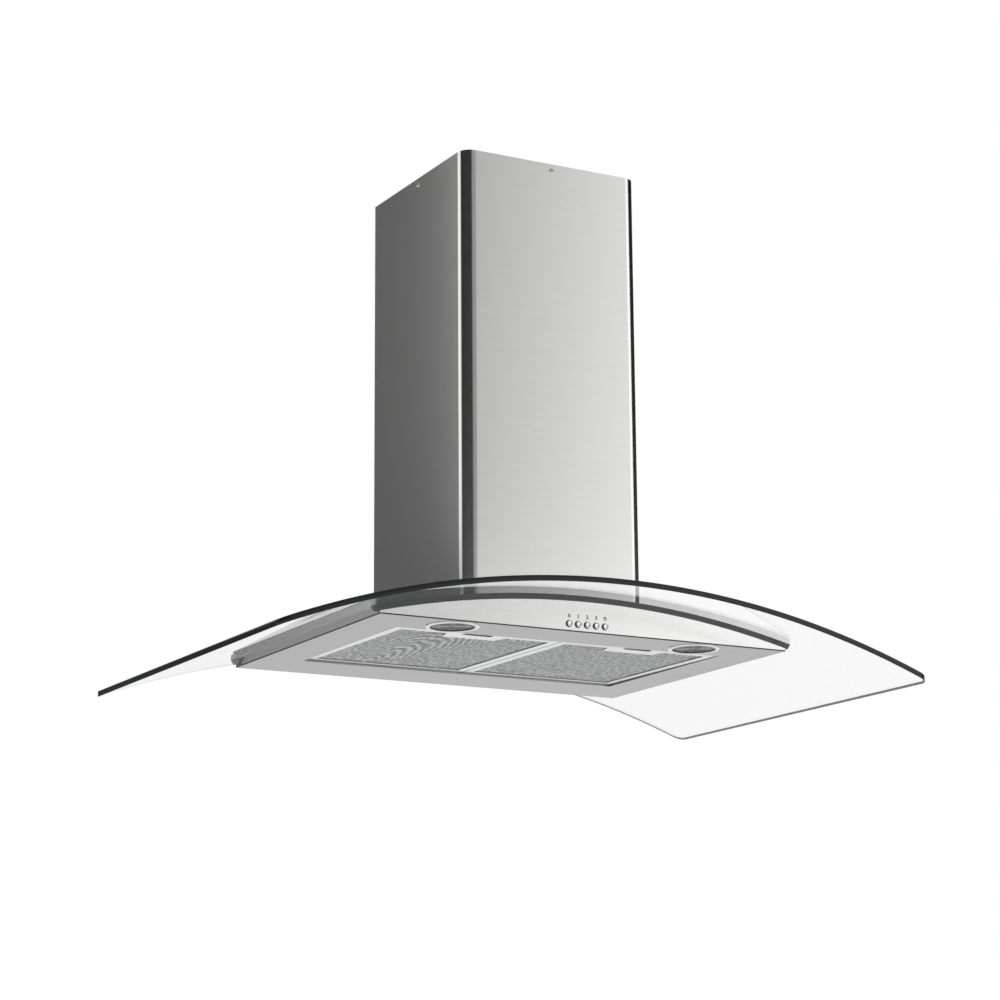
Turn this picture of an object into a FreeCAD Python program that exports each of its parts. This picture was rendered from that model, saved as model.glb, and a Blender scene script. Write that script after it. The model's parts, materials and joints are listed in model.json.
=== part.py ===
import FreeCAD, Part

import math
import os

V = FreeCAD.Vector
X = V(1, 0, 0)
Y = V(0, 1, 0)
Z = V(0, 0, 1)

# Island range hood with a bent glass canopy, in millimetres. The ceiling is z = 0 and the
# chimney's middle line is x = y = 0. The cook stands at the front, which is -Y.
hood_height = 633.0        # ceiling to the underside of the steel body
free_gap = 0.3             # between a moving piece and what it passes
running_gap = 0.05         # radial, between a turning pin or shaft and its bore

# Bent glass canopy: a band of a long cylinder that lies along Y
glass_width = 900.0
glass_depth = 587.0
glass_thickness = 7.0
glass_radius = 1227.0      # of the glass's underside
glass_corner = 14.0
glass_cut_out = 172.0      # square hole under the chimney
glass_cut_corner = 12.0
glass_bolt_hole = 14.0

# Steel body under the glass
body_width = 574.0
body_depth = 424.0
body_side_height = 11.46   # glass underside above the body's underside, at the body's sides
body_sheet = 1.0
rail_height = 7.4          # dark rails that carry the glass along the front and rear
rail_depth = 10.0
rail_overhang = 8.0        # past the body's side, at the rail's top
rail_end_slant = 6.0       # how much shorter the rail is at its bottom
fascia_return = 12.0       # folded edges inside the body
fascia_return_width = 460.0

# Chimney cover
chimney_width = 258.0
chimney_corner = 17.0      # front corners
chimney_rear_corner = 2.5
chimney_sheet = 1.0
chimney_seat = 0.5         # left open between the cover and the glass or ceiling
chimney_screw_drop = 9.5   # screws below the ceiling
chimney_screw_radius = 1.6
chimney_screw_head = 3.0
chimney_screw_head_height = 1.8
chimney_screw_length = 6.0

# Hanging frame inside the chimney: ceiling plate, four angle posts and clamp frame
liner_gap = 0.5            # between the frame and the chimney's inside
frame_plate = 2.5
frame_flange = 28.0
frame_flange_half = 115.0
ceiling_hole_spacing = 190.0
ceiling_hole_radius = 4.0
ceiling_duct_radius = 90.0
post_leg = 22.0
post_sheet = 2.0
post_bend = 8.0            # outside radius of the fold
post_bolt_offset = 109.0
post_bolt_drop = 17.0      # from the face of the ceiling plate or clamp frame
post_bolt_radius = 2.5
post_bolt_head = 4.2
post_bolt_head_height = 3.2

# Clamp through the glass
clamp_lift = 1.5           # clamp frame above the glass at the middle
throat_width = 160.0       # square air way through the glass
throat_corner = 8.0
throat_sheet = 1.5
throat_reach = 24.0        # below the clamp frame
throat_gap = 2.0
clamp_bolt_x = 118.0
clamp_bolt_y = 70.0
clamp_bolt_radius = 3.0
clamp_bolt_head = 5.0
clamp_bolt_head_height = 4.0
clamp_nut_height = 5.0
clamp_nut_radius = 5.5
clamp_nut_stock = 6.5      # height before the top is trimmed to the stiffener's curve
clamp_hole_gap = 0.3
bush_radius = 9.0
bush_gap = 0.2
gasket_width = 254.0
stiffener_width = 280.0
stiffener_sheet = 2.5

# Blower box
box_width = 224.0
box_height = 275.0
box_sheet = 1.0
box_corner = 4.0
box_foot = 12.0
box_screw_radius = 2.0
box_screw_head = 3.8
box_screw_head_height = 2.4

# Blower: a double-inlet wheel in a spiral housing, turning about a line along X
wheel_radius = 75.0
wheel_inner_radius = 62.0
wheel_length = 98.0
wheel_blades = 32
wheel_blade_sheet = 1.2
wheel_blade_lean = 24.0    # degrees that a blade's tip runs ahead of its root
wheel_blade_bow = 4.0
wheel_blade_seat = 2.0     # depth of the notch that the middle disc sits in
wheel_disc = 2.4
wheel_hub_radius = 13.0
wheel_hub_length = 22.0
scroll_tip_gap = 4.0       # wheel to housing at the tongue
scroll_end_radius = 118.0
scroll_outlet = 96.0       # inside, along Y
scroll_side_gap = 3.0
scroll_sheet = 2.0
scroll_inlet_radius = 60.0
scroll_inlet_lip = 7.0
scroll_above_foot = 136.5  # wheel's axis above the clamp frame
scroll_flange = 10.0
scroll_flange_sheet = 3.0
outlet_screw_spacing = 76.8
spiral_points = 11
motor_radius = 40.0
motor_length = 44.0
motor_boss_radius = 14.0
motor_chamfer = 5.0
shaft_start = 8.8          # from the motor's outer end
shaft_radius = 4.0
bracket_sheet = 2.0
bracket_arm = 12.0
bracket_foot = 10.0
bracket_hub_radius = 28.0
bracket_gap = 1.5         # between the bracket and the inlet's lip

# Outlet: adapter, collar and non-return flaps
adapter_height = 80.0
adapter_sheet = 2.0
adapter_flange_sheet = 3.0
adapter_corner_folds = 6   # flats that turn each corner from square to round
duct_radius = 75.0         # outside of the collar, for a 150 mm duct
collar_sheet = 2.0
collar_height = 60.0
collar_base_radius = 82.0
collar_base_sheet = 3.0
flap_level = 20.0          # hinge pin above the collar's base
flap_sheet = 1.0
flap_rim_gap = 1.5
flap_split = 4.2           # from the pin's axis to a flap's straight edge
flap_ledge = 4.0
flap_pin_radius = 2.0
flap_knuckle_radius = 3.5
flap_knuckles = 6

# Terminal box on the blower box
terminal_width = 120.0
terminal_depth = 60.0
terminal_height = 34.0
terminal_sheet = 2.0
terminal_lid = 2.5
terminal_front = 4.0       # back from the blower box's front face
gland_x = -40.0
gland_back = 22.0          # from the terminal box's front face
gland_bore = 3.75
gland_radius = 9.0
gland_height = 19.0        # above the lid
gland_nut_height = 9.0
gland_stem_radius = 6.3
gland_stem_reach = 3.0     # below the lid
gland_dome_radius = 7.2
gland_mouth_wall = 1.5

# Underside panel, lamps and grease filters
opening_side_margin = 57.0
opening_front_margin = 70.0
opening_back_margin = 86.0
opening_rim = 3.3          # height of the turned-up edge, from the underside
filter_gap = 1.5
filter_recess = 2.4        # filter above the underside
filter_height = 9.0
filter_frame_width = 11.0
filter_sheet = 0.8
mesh_layers = 3
mesh_sheet = 0.6
lug_spacing = 140.0
lug_width = 20.0
lug_reach = 5.0
lug_sheet = 1.5
latch_plate_width = 82.0
latch_plate_depth = 26.0
latch_width = 54.0
latch_depth = 16.0
latch_travel = 4.0
latch_tongue_width = 30.0
latch_tongue_sheet = 3.0
latch_wall = 1.0
finger_width = 40.0
finger_pocket = 5.5
finger_pocket_depth = 5.0
lamp_side_margin = 115.0   # lamp's middle from the body's side
lamp_front_margin = 36.5
lamp_hole_radius = 28.4
lamp_ring_radius = 33.0
lamp_ring_drop = 1.6
lamp_sleeve_radius = 28.0
lamp_sleeve_height = 8.0
lamp_lens_radius = 26.0
lamp_lens_sheet = 2.5
lamp_can_height = 17.5     # top of the lamp above the underside

# Push buttons
button_count = 5
button_pitch = 12.7
button_row_x = -5.3        # middle of the row
button_level = 9.4         # above the underside
button_radius = 4.0
button_proud = 2.4
button_travel = 2.0
button_length = 12.0
button_shoulder = 1.0
button_shoulder_length = 3.0
button_dish = 0.6
button_dish_radius = 2.8
button_dish_floor = 2.4    # radius
switch_margin = 9.0
switch_depth = 24.0
switch_height = 17.0
switch_lift = 0.5          # above the underside panel

# Levels that follow from the sizes above
body_bottom = -hood_height
glass_sagitta = glass_radius - math.sqrt(glass_radius ** 2 - body_width ** 2 / 4)
glass_rise = body_side_height + glass_sagitta
glass_axis_z = body_bottom + glass_rise - glass_radius
glass_top_radius = glass_radius + glass_thickness
rail_radius = glass_radius - rail_height
clamp_bottom = glass_axis_z + glass_top_radius + clamp_lift
clamp_top = clamp_bottom + frame_plate
box_top = clamp_top + box_height
collar_bottom = box_top + adapter_flange_sheet + adapter_height
chimney_inner_half = chimney_width / 2 - chimney_sheet
frame_half = chimney_inner_half - liner_gap

# Places that follow from the sizes above
body_front = -body_depth / 2
wheel_z = clamp_top + scroll_above_foot
scroll_start_radius = wheel_radius + scroll_tip_gap
scroll_half = wheel_length / 2 + scroll_side_gap
tongue_angle = math.acos((scroll_end_radius - scroll_outlet) / scroll_start_radius)
spiral_growth = math.log(scroll_end_radius / scroll_start_radius) / (2 * math.pi - tongue_angle)
scroll_back_radius = scroll_start_radius * math.exp(spiral_growth * (math.pi - tongue_angle))
wheel_y = (scroll_back_radius - scroll_end_radius) / 2
outlet_front = wheel_y + scroll_end_radius - scroll_outlet
outlet_middle = outlet_front + scroll_outlet / 2
opening_width = body_width - 2 * opening_side_margin
opening_front = body_front + opening_front_margin
opening_back = -body_front - opening_back_margin
lamp_x = body_width / 2 - lamp_side_margin
lamp_y = body_front + lamp_front_margin
filter_width = (opening_width - 3 * filter_gap) / 2
filter_front = opening_front + filter_gap
filter_back = opening_back - filter_gap
filter_bottom = body_bottom + filter_recess
lug_bottom = body_bottom + opening_rim + free_gap


def box(x0, x1, y0, y1, z0, z1):
    return Part.makeBox(x1 - x0, y1 - y0, z1 - z0, V(x0, y0, z0))


def rod(x, y, z, direction, radius, length):
    return Part.makeCylinder(radius, length, V(x, y, z), direction)


def hexagon(x, y, z, direction, across_corners_radius, height):
    points = []
    for i in range(7):
        turn = math.radians(60 * i)
        points.append(V(across_corners_radius * math.cos(turn), across_corners_radius * math.sin(turn), 0))
    prism = Part.Face(Part.makePolygon(points)).extrude(V(0, 0, height))
    prism.Placement = FreeCAD.Placement(V(x, y, z), FreeCAD.Rotation(Z, direction))
    return prism


def rounded_prism(width, depth, corner, z0, z1, x=0.0, y=0.0):
    """Upright block with rounded corners, about (x, y)."""
    block = box(x - width / 2, x + width / 2, y - depth / 2, y + depth / 2, z0, z1)
    uprights = [e for e in block.Edges if abs(e.Vertexes[0].Z - e.Vertexes[1].Z) > (z1 - z0) / 2]
    return block.makeFillet(corner, uprights)


def arc_height(radius, x):
    """Height of a circle about the glass's axis."""
    return glass_axis_z + math.sqrt(radius * radius - x * x)


def curved_band(inner, outer, half_width, y0, y1):
    """Band between two radii about the glass's axis, cut off upright at both sides."""
    def arc(radius):
        ends = [V(x, y0, arc_height(radius, x)) for x in (-half_width, 0, half_width)]
        return Part.Arc(*ends).toShape()
    top = arc(outer)
    bottom = arc(inner)
    right = Part.makeLine(top.Vertexes[1].Point, bottom.Vertexes[1].Point)
    left = Part.makeLine(bottom.Vertexes[0].Point, top.Vertexes[0].Point)
    return Part.Face(Part.Wire([top, right, bottom, left])).extrude(V(0, y1 - y0, 0))


def glass_cylinder(radius):
    """The whole round block about the glass's axis, longer than the hood is deep."""
    return rod(0, -glass_depth, glass_axis_z, Y, radius, 2 * glass_depth)


def four_ways(shape):
    """The shape and its copies turned by quarter turns about the chimney's middle line."""
    return [shape.rotated(V(0, 0, 0), Z, 90 * i) for i in range(4)]


def mirrored(shape):
    """The shape on the other side of x = 0."""
    return shape.mirror(V(0, 0, 0), X)


def pan_screw(radius, head_radius, head_height, length):
    """Round-headed screw along +Z, its head's underside at z = 0."""
    shank = rod(0, 0, 0, Z, radius, length)
    head = rod(0, 0, -head_height / 2, Z, head_radius, head_height / 2)
    crown = Part.makeCone(head_radius / 2, head_radius, head_height / 2, V(0, 0, -head_height), Z)
    return shank.fuse([head, crown]).removeSplitter()


def placed(shape, x, y, z, direction):
    """A copy of a shape made along +Z, moved to a point and turned to a direction."""
    copy = shape.copy()
    copy.Placement = FreeCAD.Placement(V(x, y, z), FreeCAD.Rotation(Z, direction))
    return copy


# Chimney and hanging frame

def folded_tray(z_plate, z_edge):
    """Square plate with four folded flanges, cut back at the corners for the posts."""
    low = min(z_plate, z_edge)
    high = max(z_plate, z_edge)
    up = 1 if z_edge > z_plate else -1
    corner = chimney_corner - chimney_sheet - liner_gap
    tray = rounded_prism(2 * frame_half, 2 * frame_half, corner, low, high)
    inside = 2 * (frame_half - frame_plate)
    hollow_from = z_plate + up * frame_plate
    z0 = min(hollow_from, z_edge + up)
    z1 = max(hollow_from, z_edge + up)
    tray = tray.cut(rounded_prism(inside, inside, post_bend, z0, z1))
    notch = box(frame_flange_half, frame_half + 1, frame_flange_half, frame_half + 1, z0, z1)
    return tray.cut(four_ways(notch))


def post_bolt_holes(z_plate, up):
    """Tapped holes in a tray's flanges for the post bolts."""
    holes = []
    for side in (-1, 1):
        z = z_plate + up * post_bolt_drop
        hole = rod(side * post_bolt_offset, -frame_half - 1, z, Y, post_bolt_radius, frame_plate + 2)
        holes += four_ways(hole)
    return holes


def ceiling_plate():
    plate = folded_tray(0, -frame_flange)
    duct_hole = rod(0, 0, -frame_plate, Z, ceiling_duct_radius, frame_plate)
    half = ceiling_hole_spacing / 2
    bolt_hole = rod(half, half, -frame_plate, Z, ceiling_hole_radius, frame_plate)
    screw_hole = rod(0, -frame_half - 1, -chimney_screw_drop, Y, chimney_screw_radius, frame_plate + 2)
    cuts = [duct_hole] + four_ways(bolt_hole) + four_ways(screw_hole) + post_bolt_holes(0, -1)
    return plate.cut(cuts)


def chimney_block(inset, z0, z1):
    """Upright block, folded round at its front corners and tight at its rear ones."""
    half = chimney_width / 2 - inset
    front = rounded_prism(2 * half, 2 * half, chimney_corner - inset, z0, z1)
    rear = rounded_prism(2 * half, 2 * half, chimney_rear_corner - inset, z0, z1)
    return front.common(box(-half, half, -half, 0, z0, z1)).fuse(rear.common(box(-half, half, 0, half, z0, z1)))


def chimney_cover():
    outer = chimney_block(0, body_bottom, -chimney_seat)
    inner = chimney_block(chimney_sheet, body_bottom - 1, 1)
    screw_hole = rod(0, -chimney_width / 2 - 1, -chimney_screw_drop, Y, chimney_screw_radius, chimney_sheet + 2)
    below = glass_cylinder(glass_top_radius + chimney_seat)
    return outer.cut([inner, below] + four_ways(screw_hole)).removeSplitter()


def chimney_screws():
    screw = pan_screw(chimney_screw_radius, chimney_screw_head, chimney_screw_head_height, chimney_screw_length)
    front = placed(screw, 0, -chimney_width / 2, -chimney_screw_drop, Y)
    return Part.makeCompound(four_ways(front))


def post_outline(x_sign, y_sign):
    """Folded angle in plan, its heel in the corner (x_sign, y_sign)."""
    half = frame_half - frame_plate
    heel = rounded_prism(2 * half, 2 * half, post_bend, clamp_top, -frame_plate)
    inner = 2 * (half - post_sheet)
    heel = heel.cut(rounded_prism(inner, inner, post_bend - post_sheet, clamp_top, -frame_plate))
    x0, x1 = sorted((x_sign * (half - post_leg), x_sign * half))
    y0, y1 = sorted((y_sign * (half - post_leg), y_sign * half))
    return heel.common(box(x0, x1, y0, y1, clamp_top, -frame_plate))


def support_post(x_sign, y_sign):
    post = post_outline(x_sign, y_sign)
    reach = frame_half - frame_plate - post_sheet - 1
    holes = []
    for z in (-post_bolt_drop, clamp_bottom + post_bolt_drop):
        x = x_sign * post_bolt_offset
        y = y_sign * post_bolt_offset
        holes.append(rod(x, y_sign * reach, z, Y * y_sign, post_bolt_radius, post_sheet + 2))
        holes.append(rod(x_sign * reach, y, z, X * x_sign, post_bolt_radius, post_sheet + 2))
    return post.cut(holes)


def post_bolts():
    """Hexagon bolts from inside the posts into the tapped flanges."""
    bolts = []
    face = frame_half - frame_plate - post_sheet
    for z in (-post_bolt_drop, clamp_bottom + post_bolt_drop):
        for side in (-1, 1):
            x = side * post_bolt_offset
            shank = rod(x, -face, z, -Y, post_bolt_radius, post_sheet + frame_plate)
            head = hexagon(x, -face, z, Y, post_bolt_head, post_bolt_head_height)
            bolts += four_ways(shank.fuse(head).removeSplitter())
    return Part.makeCompound(bolts)


def clamp_bolt_places():
    return [(x * clamp_bolt_x, y * clamp_bolt_y) for x in (-1, 1) for y in (-1, 1)]


def box_screw_distance():
    """From the middle line to the screws in the blower box's foot."""
    return box_width / 2 - box_sheet - box_foot / 2


def clamp_frame():
    """Lower tray of the hanging frame, with the square throat folded down through the glass."""
    tray = folded_tray(clamp_bottom, clamp_bottom + frame_flange)
    throat_bottom = clamp_bottom - throat_reach
    throat = rounded_prism(throat_width, throat_width, throat_corner, throat_bottom, clamp_bottom)
    air_width = throat_width - 2 * throat_sheet
    air_corner = throat_corner - throat_sheet
    air = rounded_prism(air_width, air_width, air_corner, throat_bottom - 1, clamp_top + 1)
    cuts = [air] + post_bolt_holes(clamp_bottom, 1)
    for x, y in clamp_bolt_places():
        cuts.append(rod(x, y, clamp_bottom - 1, Z, clamp_bolt_radius + clamp_hole_gap, frame_plate + 2))
    screw_hole = rod(0, -box_screw_distance(), clamp_bottom, Z, box_screw_radius, frame_plate)
    return tray.fuse(throat).cut(cuts + four_ways(screw_hole)).removeSplitter()


def clamp_bolts():
    """Bolts down through the clamp frame, the glass and the body's top."""
    length = clamp_top - (arc_height(stiffener_inner_radius(), clamp_bolt_x) - clamp_nut_height)
    bolts = []
    for x, y in clamp_bolt_places():
        head = hexagon(x, y, clamp_top, Z, clamp_bolt_head, clamp_bolt_head_height)
        shank = rod(x, y, clamp_top, -Z, clamp_bolt_radius, length)
        bolts.append(head.fuse(shank).removeSplitter())
    return Part.makeCompound(bolts)


def clamp_nuts():
    """Nuts welded under the body's stiffener."""
    nuts = []
    seat = arc_height(stiffener_inner_radius(), clamp_bolt_x)
    inside = glass_cylinder(stiffener_inner_radius())
    for x, y in clamp_bolt_places():
        bottom = seat - clamp_nut_height
        nut = hexagon(x, y, bottom, Z, clamp_nut_radius, clamp_nut_stock)
        nut = nut.cut(rod(x, y, bottom - 1, Z, clamp_bolt_radius, clamp_nut_height * 2))
        nuts.append(nut.common(inside))
    return Part.makeCompound(nuts)


def glass_bushes():
    """Rubber bushes that keep the bolts and the clamp frame off the glass."""
    bushes = []
    glass = curved_band(glass_radius, glass_top_radius, glass_width / 2, -glass_depth / 2, glass_depth / 2)
    for x, y in clamp_bolt_places():
        depth = clamp_bottom - arc_height(glass_radius, abs(x) + glass_bolt_hole)
        pad = rod(x, y, clamp_bottom, -Z, bush_radius, depth)
        pad = pad.cut(glass_cylinder(glass_top_radius))
        sleeve = rod(x, y, clamp_bottom, -Z, glass_bolt_hole / 2 - bush_gap, depth)
        sleeve = sleeve.common(glass)
        bore = rod(x, y, clamp_bottom + 1, -Z, clamp_bolt_radius + clamp_hole_gap, depth + 2)
        bushes.append(pad.fuse(sleeve).cut(bore).removeSplitter())
    return Part.makeCompound(bushes)


# Glass and steel body

def glass_canopy():
    half_depth = glass_depth / 2
    spare = glass_thickness
    band = curved_band(glass_radius, glass_top_radius, glass_width / 2 + spare, -half_depth - spare, half_depth + spare)
    bottom = arc_height(glass_radius, glass_width / 2 + spare) - spare
    top = glass_axis_z + glass_top_radius + spare
    band = band.common(rounded_prism(glass_width, glass_depth, glass_corner, bottom, top))
    cuts = [rounded_prism(glass_cut_out, glass_cut_out, glass_cut_corner, bottom, top)]
    for x, y in clamp_bolt_places():
        cuts.append(rod(x, y, bottom, Z, glass_bolt_hole / 2, top - bottom))
    return band.cut(cuts)


def air_gasket():
    """Firm rubber pad between the glass and the body, round the throat."""
    half = gasket_width / 2
    pad = curved_band(rail_radius, glass_radius, half, -half, half)
    return pad.cut(body_top_cuts(throat_gap / 2))


def body_top_cuts(gap):
    """Throat and bolt holes that go through the body's top."""
    low = arc_height(rail_radius, gasket_width / 2) - stiffener_sheet * 3
    high = glass_axis_z + glass_radius + 1
    width = throat_width + 2 * gap
    cuts = [rounded_prism(width, width, throat_corner + gap, low, high)]
    for x, y in clamp_bolt_places():
        cuts.append(rod(x, y, low, Z, clamp_bolt_radius + clamp_hole_gap, high - low))
    return cuts


def stiffener_inner_radius():
    return rail_radius - body_sheet - stiffener_sheet


def body_top_panel():
    """Curved steel sheet that follows the glass."""
    half_width = body_width / 2 - body_sheet
    half_depth = body_depth / 2 - body_sheet
    sheet = curved_band(rail_radius - body_sheet, rail_radius, half_width, -half_depth, half_depth)
    return sheet.cut(body_top_cuts(throat_gap))


def stiffener_frame():
    """Curved ring under the body's top that takes the clamp bolts."""
    half = stiffener_width / 2
    ring = curved_band(stiffener_inner_radius(), rail_radius - body_sheet, half, -half, half)
    return ring.cut(body_top_cuts(throat_gap))


def glass_rail():
    """Front rail under the glass, its ends cut on a slant."""
    top_half = body_width / 2 + rail_overhang
    rail = curved_band(rail_radius, glass_radius, top_half, body_front, body_front + rail_depth)
    z_top = arc_height(glass_radius, top_half)
    z_bottom = arc_height(rail_radius, top_half) - 1
    slope = rail_end_slant / (z_top - z_bottom)
    over = V(top_half + slope, body_front - 1, z_top + 1)
    under = V(top_half - rail_end_slant, body_front - 1, z_bottom)
    outline = Part.makePolygon([over, under, under + X * 2 * rail_end_slant, over + X * rail_end_slant, over])
    wedge = Part.Face(outline).extrude(V(0, rail_depth + 2, 0))
    return rail.cut([wedge, mirrored(wedge)])


def body_fascia(holes):
    """Front steel face: straight below, curved with the glass above."""
    half = body_width / 2
    below = glass_cylinder(rail_radius)
    top = glass_axis_z + glass_radius
    face = box(-half, half, body_front, body_front + body_sheet, body_bottom, top).common(below)
    return face.cut(holes) if holes else face


def button_places():
    first = button_row_x - button_pitch * (button_count - 1) / 2
    return [first + button_pitch * i for i in range(button_count)]


def front_fascia():
    level = body_bottom + button_level
    radius = button_radius + free_gap
    return body_fascia([rod(x, body_front - 1, level, Y, radius, body_sheet + 2) for x in button_places()])


def side_panel():
    """Right side of the body, notched for the rails, with a folded foot on the underside panel."""
    half = body_width / 2
    half_depth = body_depth / 2 - body_sheet
    face = box(half - body_sheet, half, -half_depth, half_depth, body_bottom, body_bottom + glass_rise)
    foot_z = body_bottom + body_sheet
    foot = box(half - fascia_return, half, -half_depth, half_depth, foot_z, foot_z + body_sheet)
    panel = face.fuse(foot).common(glass_cylinder(glass_radius))
    return panel.cut([glass_rail(), glass_rail().mirror(V(0, 0, 0), Y)]).removeSplitter()


def underside_panel():
    half_width = body_width / 2 - body_sheet
    half_depth = body_depth / 2 - body_sheet
    z1 = body_bottom + body_sheet
    panel = box(-half_width, half_width, -half_depth, half_depth, body_bottom, z1)
    edge = 2 * body_sheet
    rim = box(-opening_width / 2 - body_sheet, opening_width / 2 + body_sheet, opening_front - body_sheet,
              opening_back + body_sheet, body_bottom, body_bottom + opening_rim)
    half_return = fascia_return_width / 2
    returns = [box(-half_return, half_return, y0, y0 + body_sheet, body_bottom, body_bottom + fascia_return)
               for y0 in (-half_depth, half_depth - body_sheet)]
    panel = panel.fuse([rim] + returns)
    places = button_places()
    top = body_bottom + opening_rim + edge
    opening = box(-opening_width / 2, opening_width / 2, opening_front, opening_back, body_bottom - 1, top)
    switch_gap = box(places[0] - switch_margin - body_sheet, places[-1] + switch_margin + body_sheet,
                     -half_depth, opening_front - edge, z1, body_bottom + fascia_return + 1)
    holes = [opening, switch_gap]
    for side in (-1, 1):
        holes.append(rod(side * lamp_x, lamp_y, body_bottom - 1, Z, lamp_hole_radius, edge + 2))
    return panel.cut(holes).removeSplitter()


# Lamps, made on the right

def lamp_ring():
    flange = Part.makeCone(lamp_ring_radius - lamp_ring_drop, lamp_ring_radius, lamp_ring_drop,
                           V(0, 0, -lamp_ring_drop), Z)
    ring = flange.fuse(rod(0, 0, 0, Z, lamp_sleeve_radius, lamp_sleeve_height))
    ring = ring.cut(rod(0, 0, 0, Z, lamp_lens_radius, lamp_sleeve_height))
    mouth = Part.makeCone(lamp_lens_radius - body_sheet, lamp_lens_radius - 2 * body_sheet, lamp_ring_drop,
                          V(0, 0, -lamp_ring_drop), Z)
    return lamp_in_place(ring.cut(mouth))


def lamp_lens():
    return lamp_in_place(rod(0, 0, 0, Z, lamp_lens_radius, lamp_lens_sheet))


def lamp_housing():
    """Closed lamp can with a stepped back."""
    can = rod(0, 0, lamp_lens_sheet, Z, lamp_lens_radius, lamp_can_height - lamp_lens_sheet)
    rim = [e for e in can.Edges if e.Vertexes[0].Z > lamp_can_height - 1 and len(e.Vertexes) == 1]
    return lamp_in_place(can.makeChamfer(lamp_can_height / 4, rim))


def lamp_in_place(shape):
    return placed(shape, lamp_x, lamp_y, body_bottom, Z)


# Grease filters, made on the right

def filter_middle():
    return filter_gap / 2 + filter_width / 2


def filter_block(inset, z0, z1):
    x = filter_middle()
    half = filter_width / 2 - inset
    return box(x - half, x + half, filter_front + inset, filter_back - inset, z0, z1)


def latch_housing_box(wall):
    """Space for the latch behind the filter's front edge, grown by a wall."""
    x = filter_middle()
    half = latch_width / 2 + free_gap + wall
    back = filter_front + filter_sheet + free_gap * 2 + latch_travel + latch_depth
    return box(x - half, x + half, filter_front + filter_sheet - wall, back + wall,
               filter_bottom + filter_sheet - wall, filter_bottom + filter_height - filter_sheet + wall)


def latch_front():
    """Front face of the released latch's block."""
    return filter_front + filter_sheet + free_gap + latch_travel


def finger_pocket_front():
    return latch_front() + latch_wall


def filter_frame():
    """Channel frame, latch housing with its finger slot, and two hooks at the back."""
    top = filter_bottom + filter_height
    x = filter_middle()
    frame = filter_block(0, filter_bottom, top)
    frame = frame.cut(filter_block(filter_sheet, filter_bottom + filter_sheet, top - filter_sheet))
    frame = frame.cut(filter_block(filter_frame_width, filter_bottom - 1, top + 1))
    plate = box(x - latch_plate_width / 2, x + latch_plate_width / 2, filter_front,
                filter_front + latch_plate_depth, filter_bottom, filter_bottom + filter_sheet)
    frame = frame.fuse([plate, latch_housing_box(filter_sheet)]).cut(latch_housing_box(0))
    slot = box(x - finger_width / 2, x + finger_width / 2, finger_pocket_front() - latch_travel,
               finger_pocket_front() + finger_pocket, filter_bottom - 1, lug_bottom)
    half_tongue = latch_tongue_width / 2 + free_gap
    mouth = box(x - half_tongue, x + half_tongue, filter_front - 1, latch_front(),
                lug_bottom - free_gap, lug_bottom + latch_tongue_sheet + free_gap)
    frame = frame.cut([slot, mouth])
    hooks = []
    for side in (-1, 1):
        x0 = x + side * lug_spacing / 2 - lug_width / 2
        hooks.append(box(x0, x0 + lug_width, filter_back - filter_sheet, filter_back + lug_reach,
                         lug_bottom, lug_bottom + lug_sheet))
    return frame.fuse(hooks).removeSplitter()


def filter_mesh():
    """Layers of metal mesh held in the channel, cut out round the latch."""
    first = filter_bottom + filter_sheet
    step = (filter_height - 2 * filter_sheet - mesh_sheet) / (mesh_layers - 1)
    layers = []
    for i in range(mesh_layers):
        z = first + step * i
        layers.append(filter_block(filter_sheet, z, z + mesh_sheet).cut(latch_housing_box(filter_sheet)))
    return Part.makeCompound(layers)


def filter_latch():
    """Sliding catch, drawn back, with a pocket for a fingertip."""
    x = filter_middle()
    half = latch_width / 2
    front = latch_front()
    top = filter_bottom + filter_height - filter_sheet - free_gap
    block = box(x - half, x + half, front, front + latch_depth, lug_bottom, top)
    tongue = box(x - latch_tongue_width / 2, x + latch_tongue_width / 2, filter_front + free_gap, front,
                 lug_bottom, lug_bottom + latch_tongue_sheet)
    pocket = box(x - finger_width / 2, x + finger_width / 2, finger_pocket_front(),
                 finger_pocket_front() + finger_pocket, lug_bottom - 1, lug_bottom + finger_pocket_depth)
    return block.fuse(tongue).cut(pocket).removeSplitter()


# Blower box, spiral housing, wheel and motor

def blower_box():
    box_inner = box_width - 2 * box_sheet
    shell = rounded_prism(box_width, box_width, box_corner, clamp_top, box_top)
    inner_corner = box_corner - box_sheet
    shell = shell.cut(rounded_prism(box_inner, box_inner, inner_corner, clamp_top + box_sheet, box_top - box_sheet))
    foot_opening = box_inner - 2 * box_foot
    mouth = rounded_prism(foot_opening, foot_opening, box_corner, clamp_top - 1, clamp_top + box_sheet + 1)
    outlet = box(-scroll_half, scroll_half, outlet_front, outlet_front + scroll_outlet,
                 box_top - box_sheet - 1, box_top + 1)
    foot_screw = rod(0, -box_screw_distance(), clamp_top - 1, Z, box_screw_radius, box_sheet + 2)
    cuts = [mouth, outlet] + four_ways(foot_screw)
    for x, y in outlet_screw_places():
        cuts.append(rod(x, y, box_top - box_sheet - 1, Z, box_screw_radius, box_sheet + 2))
    return shell.cut(cuts)


def outlet_screw_places():
    x = scroll_half + scroll_sheet + scroll_flange / 2
    return [(side * x, outlet_middle + way * outlet_screw_spacing / 2) for side in (-1, 1) for way in (-1, 1)]


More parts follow.
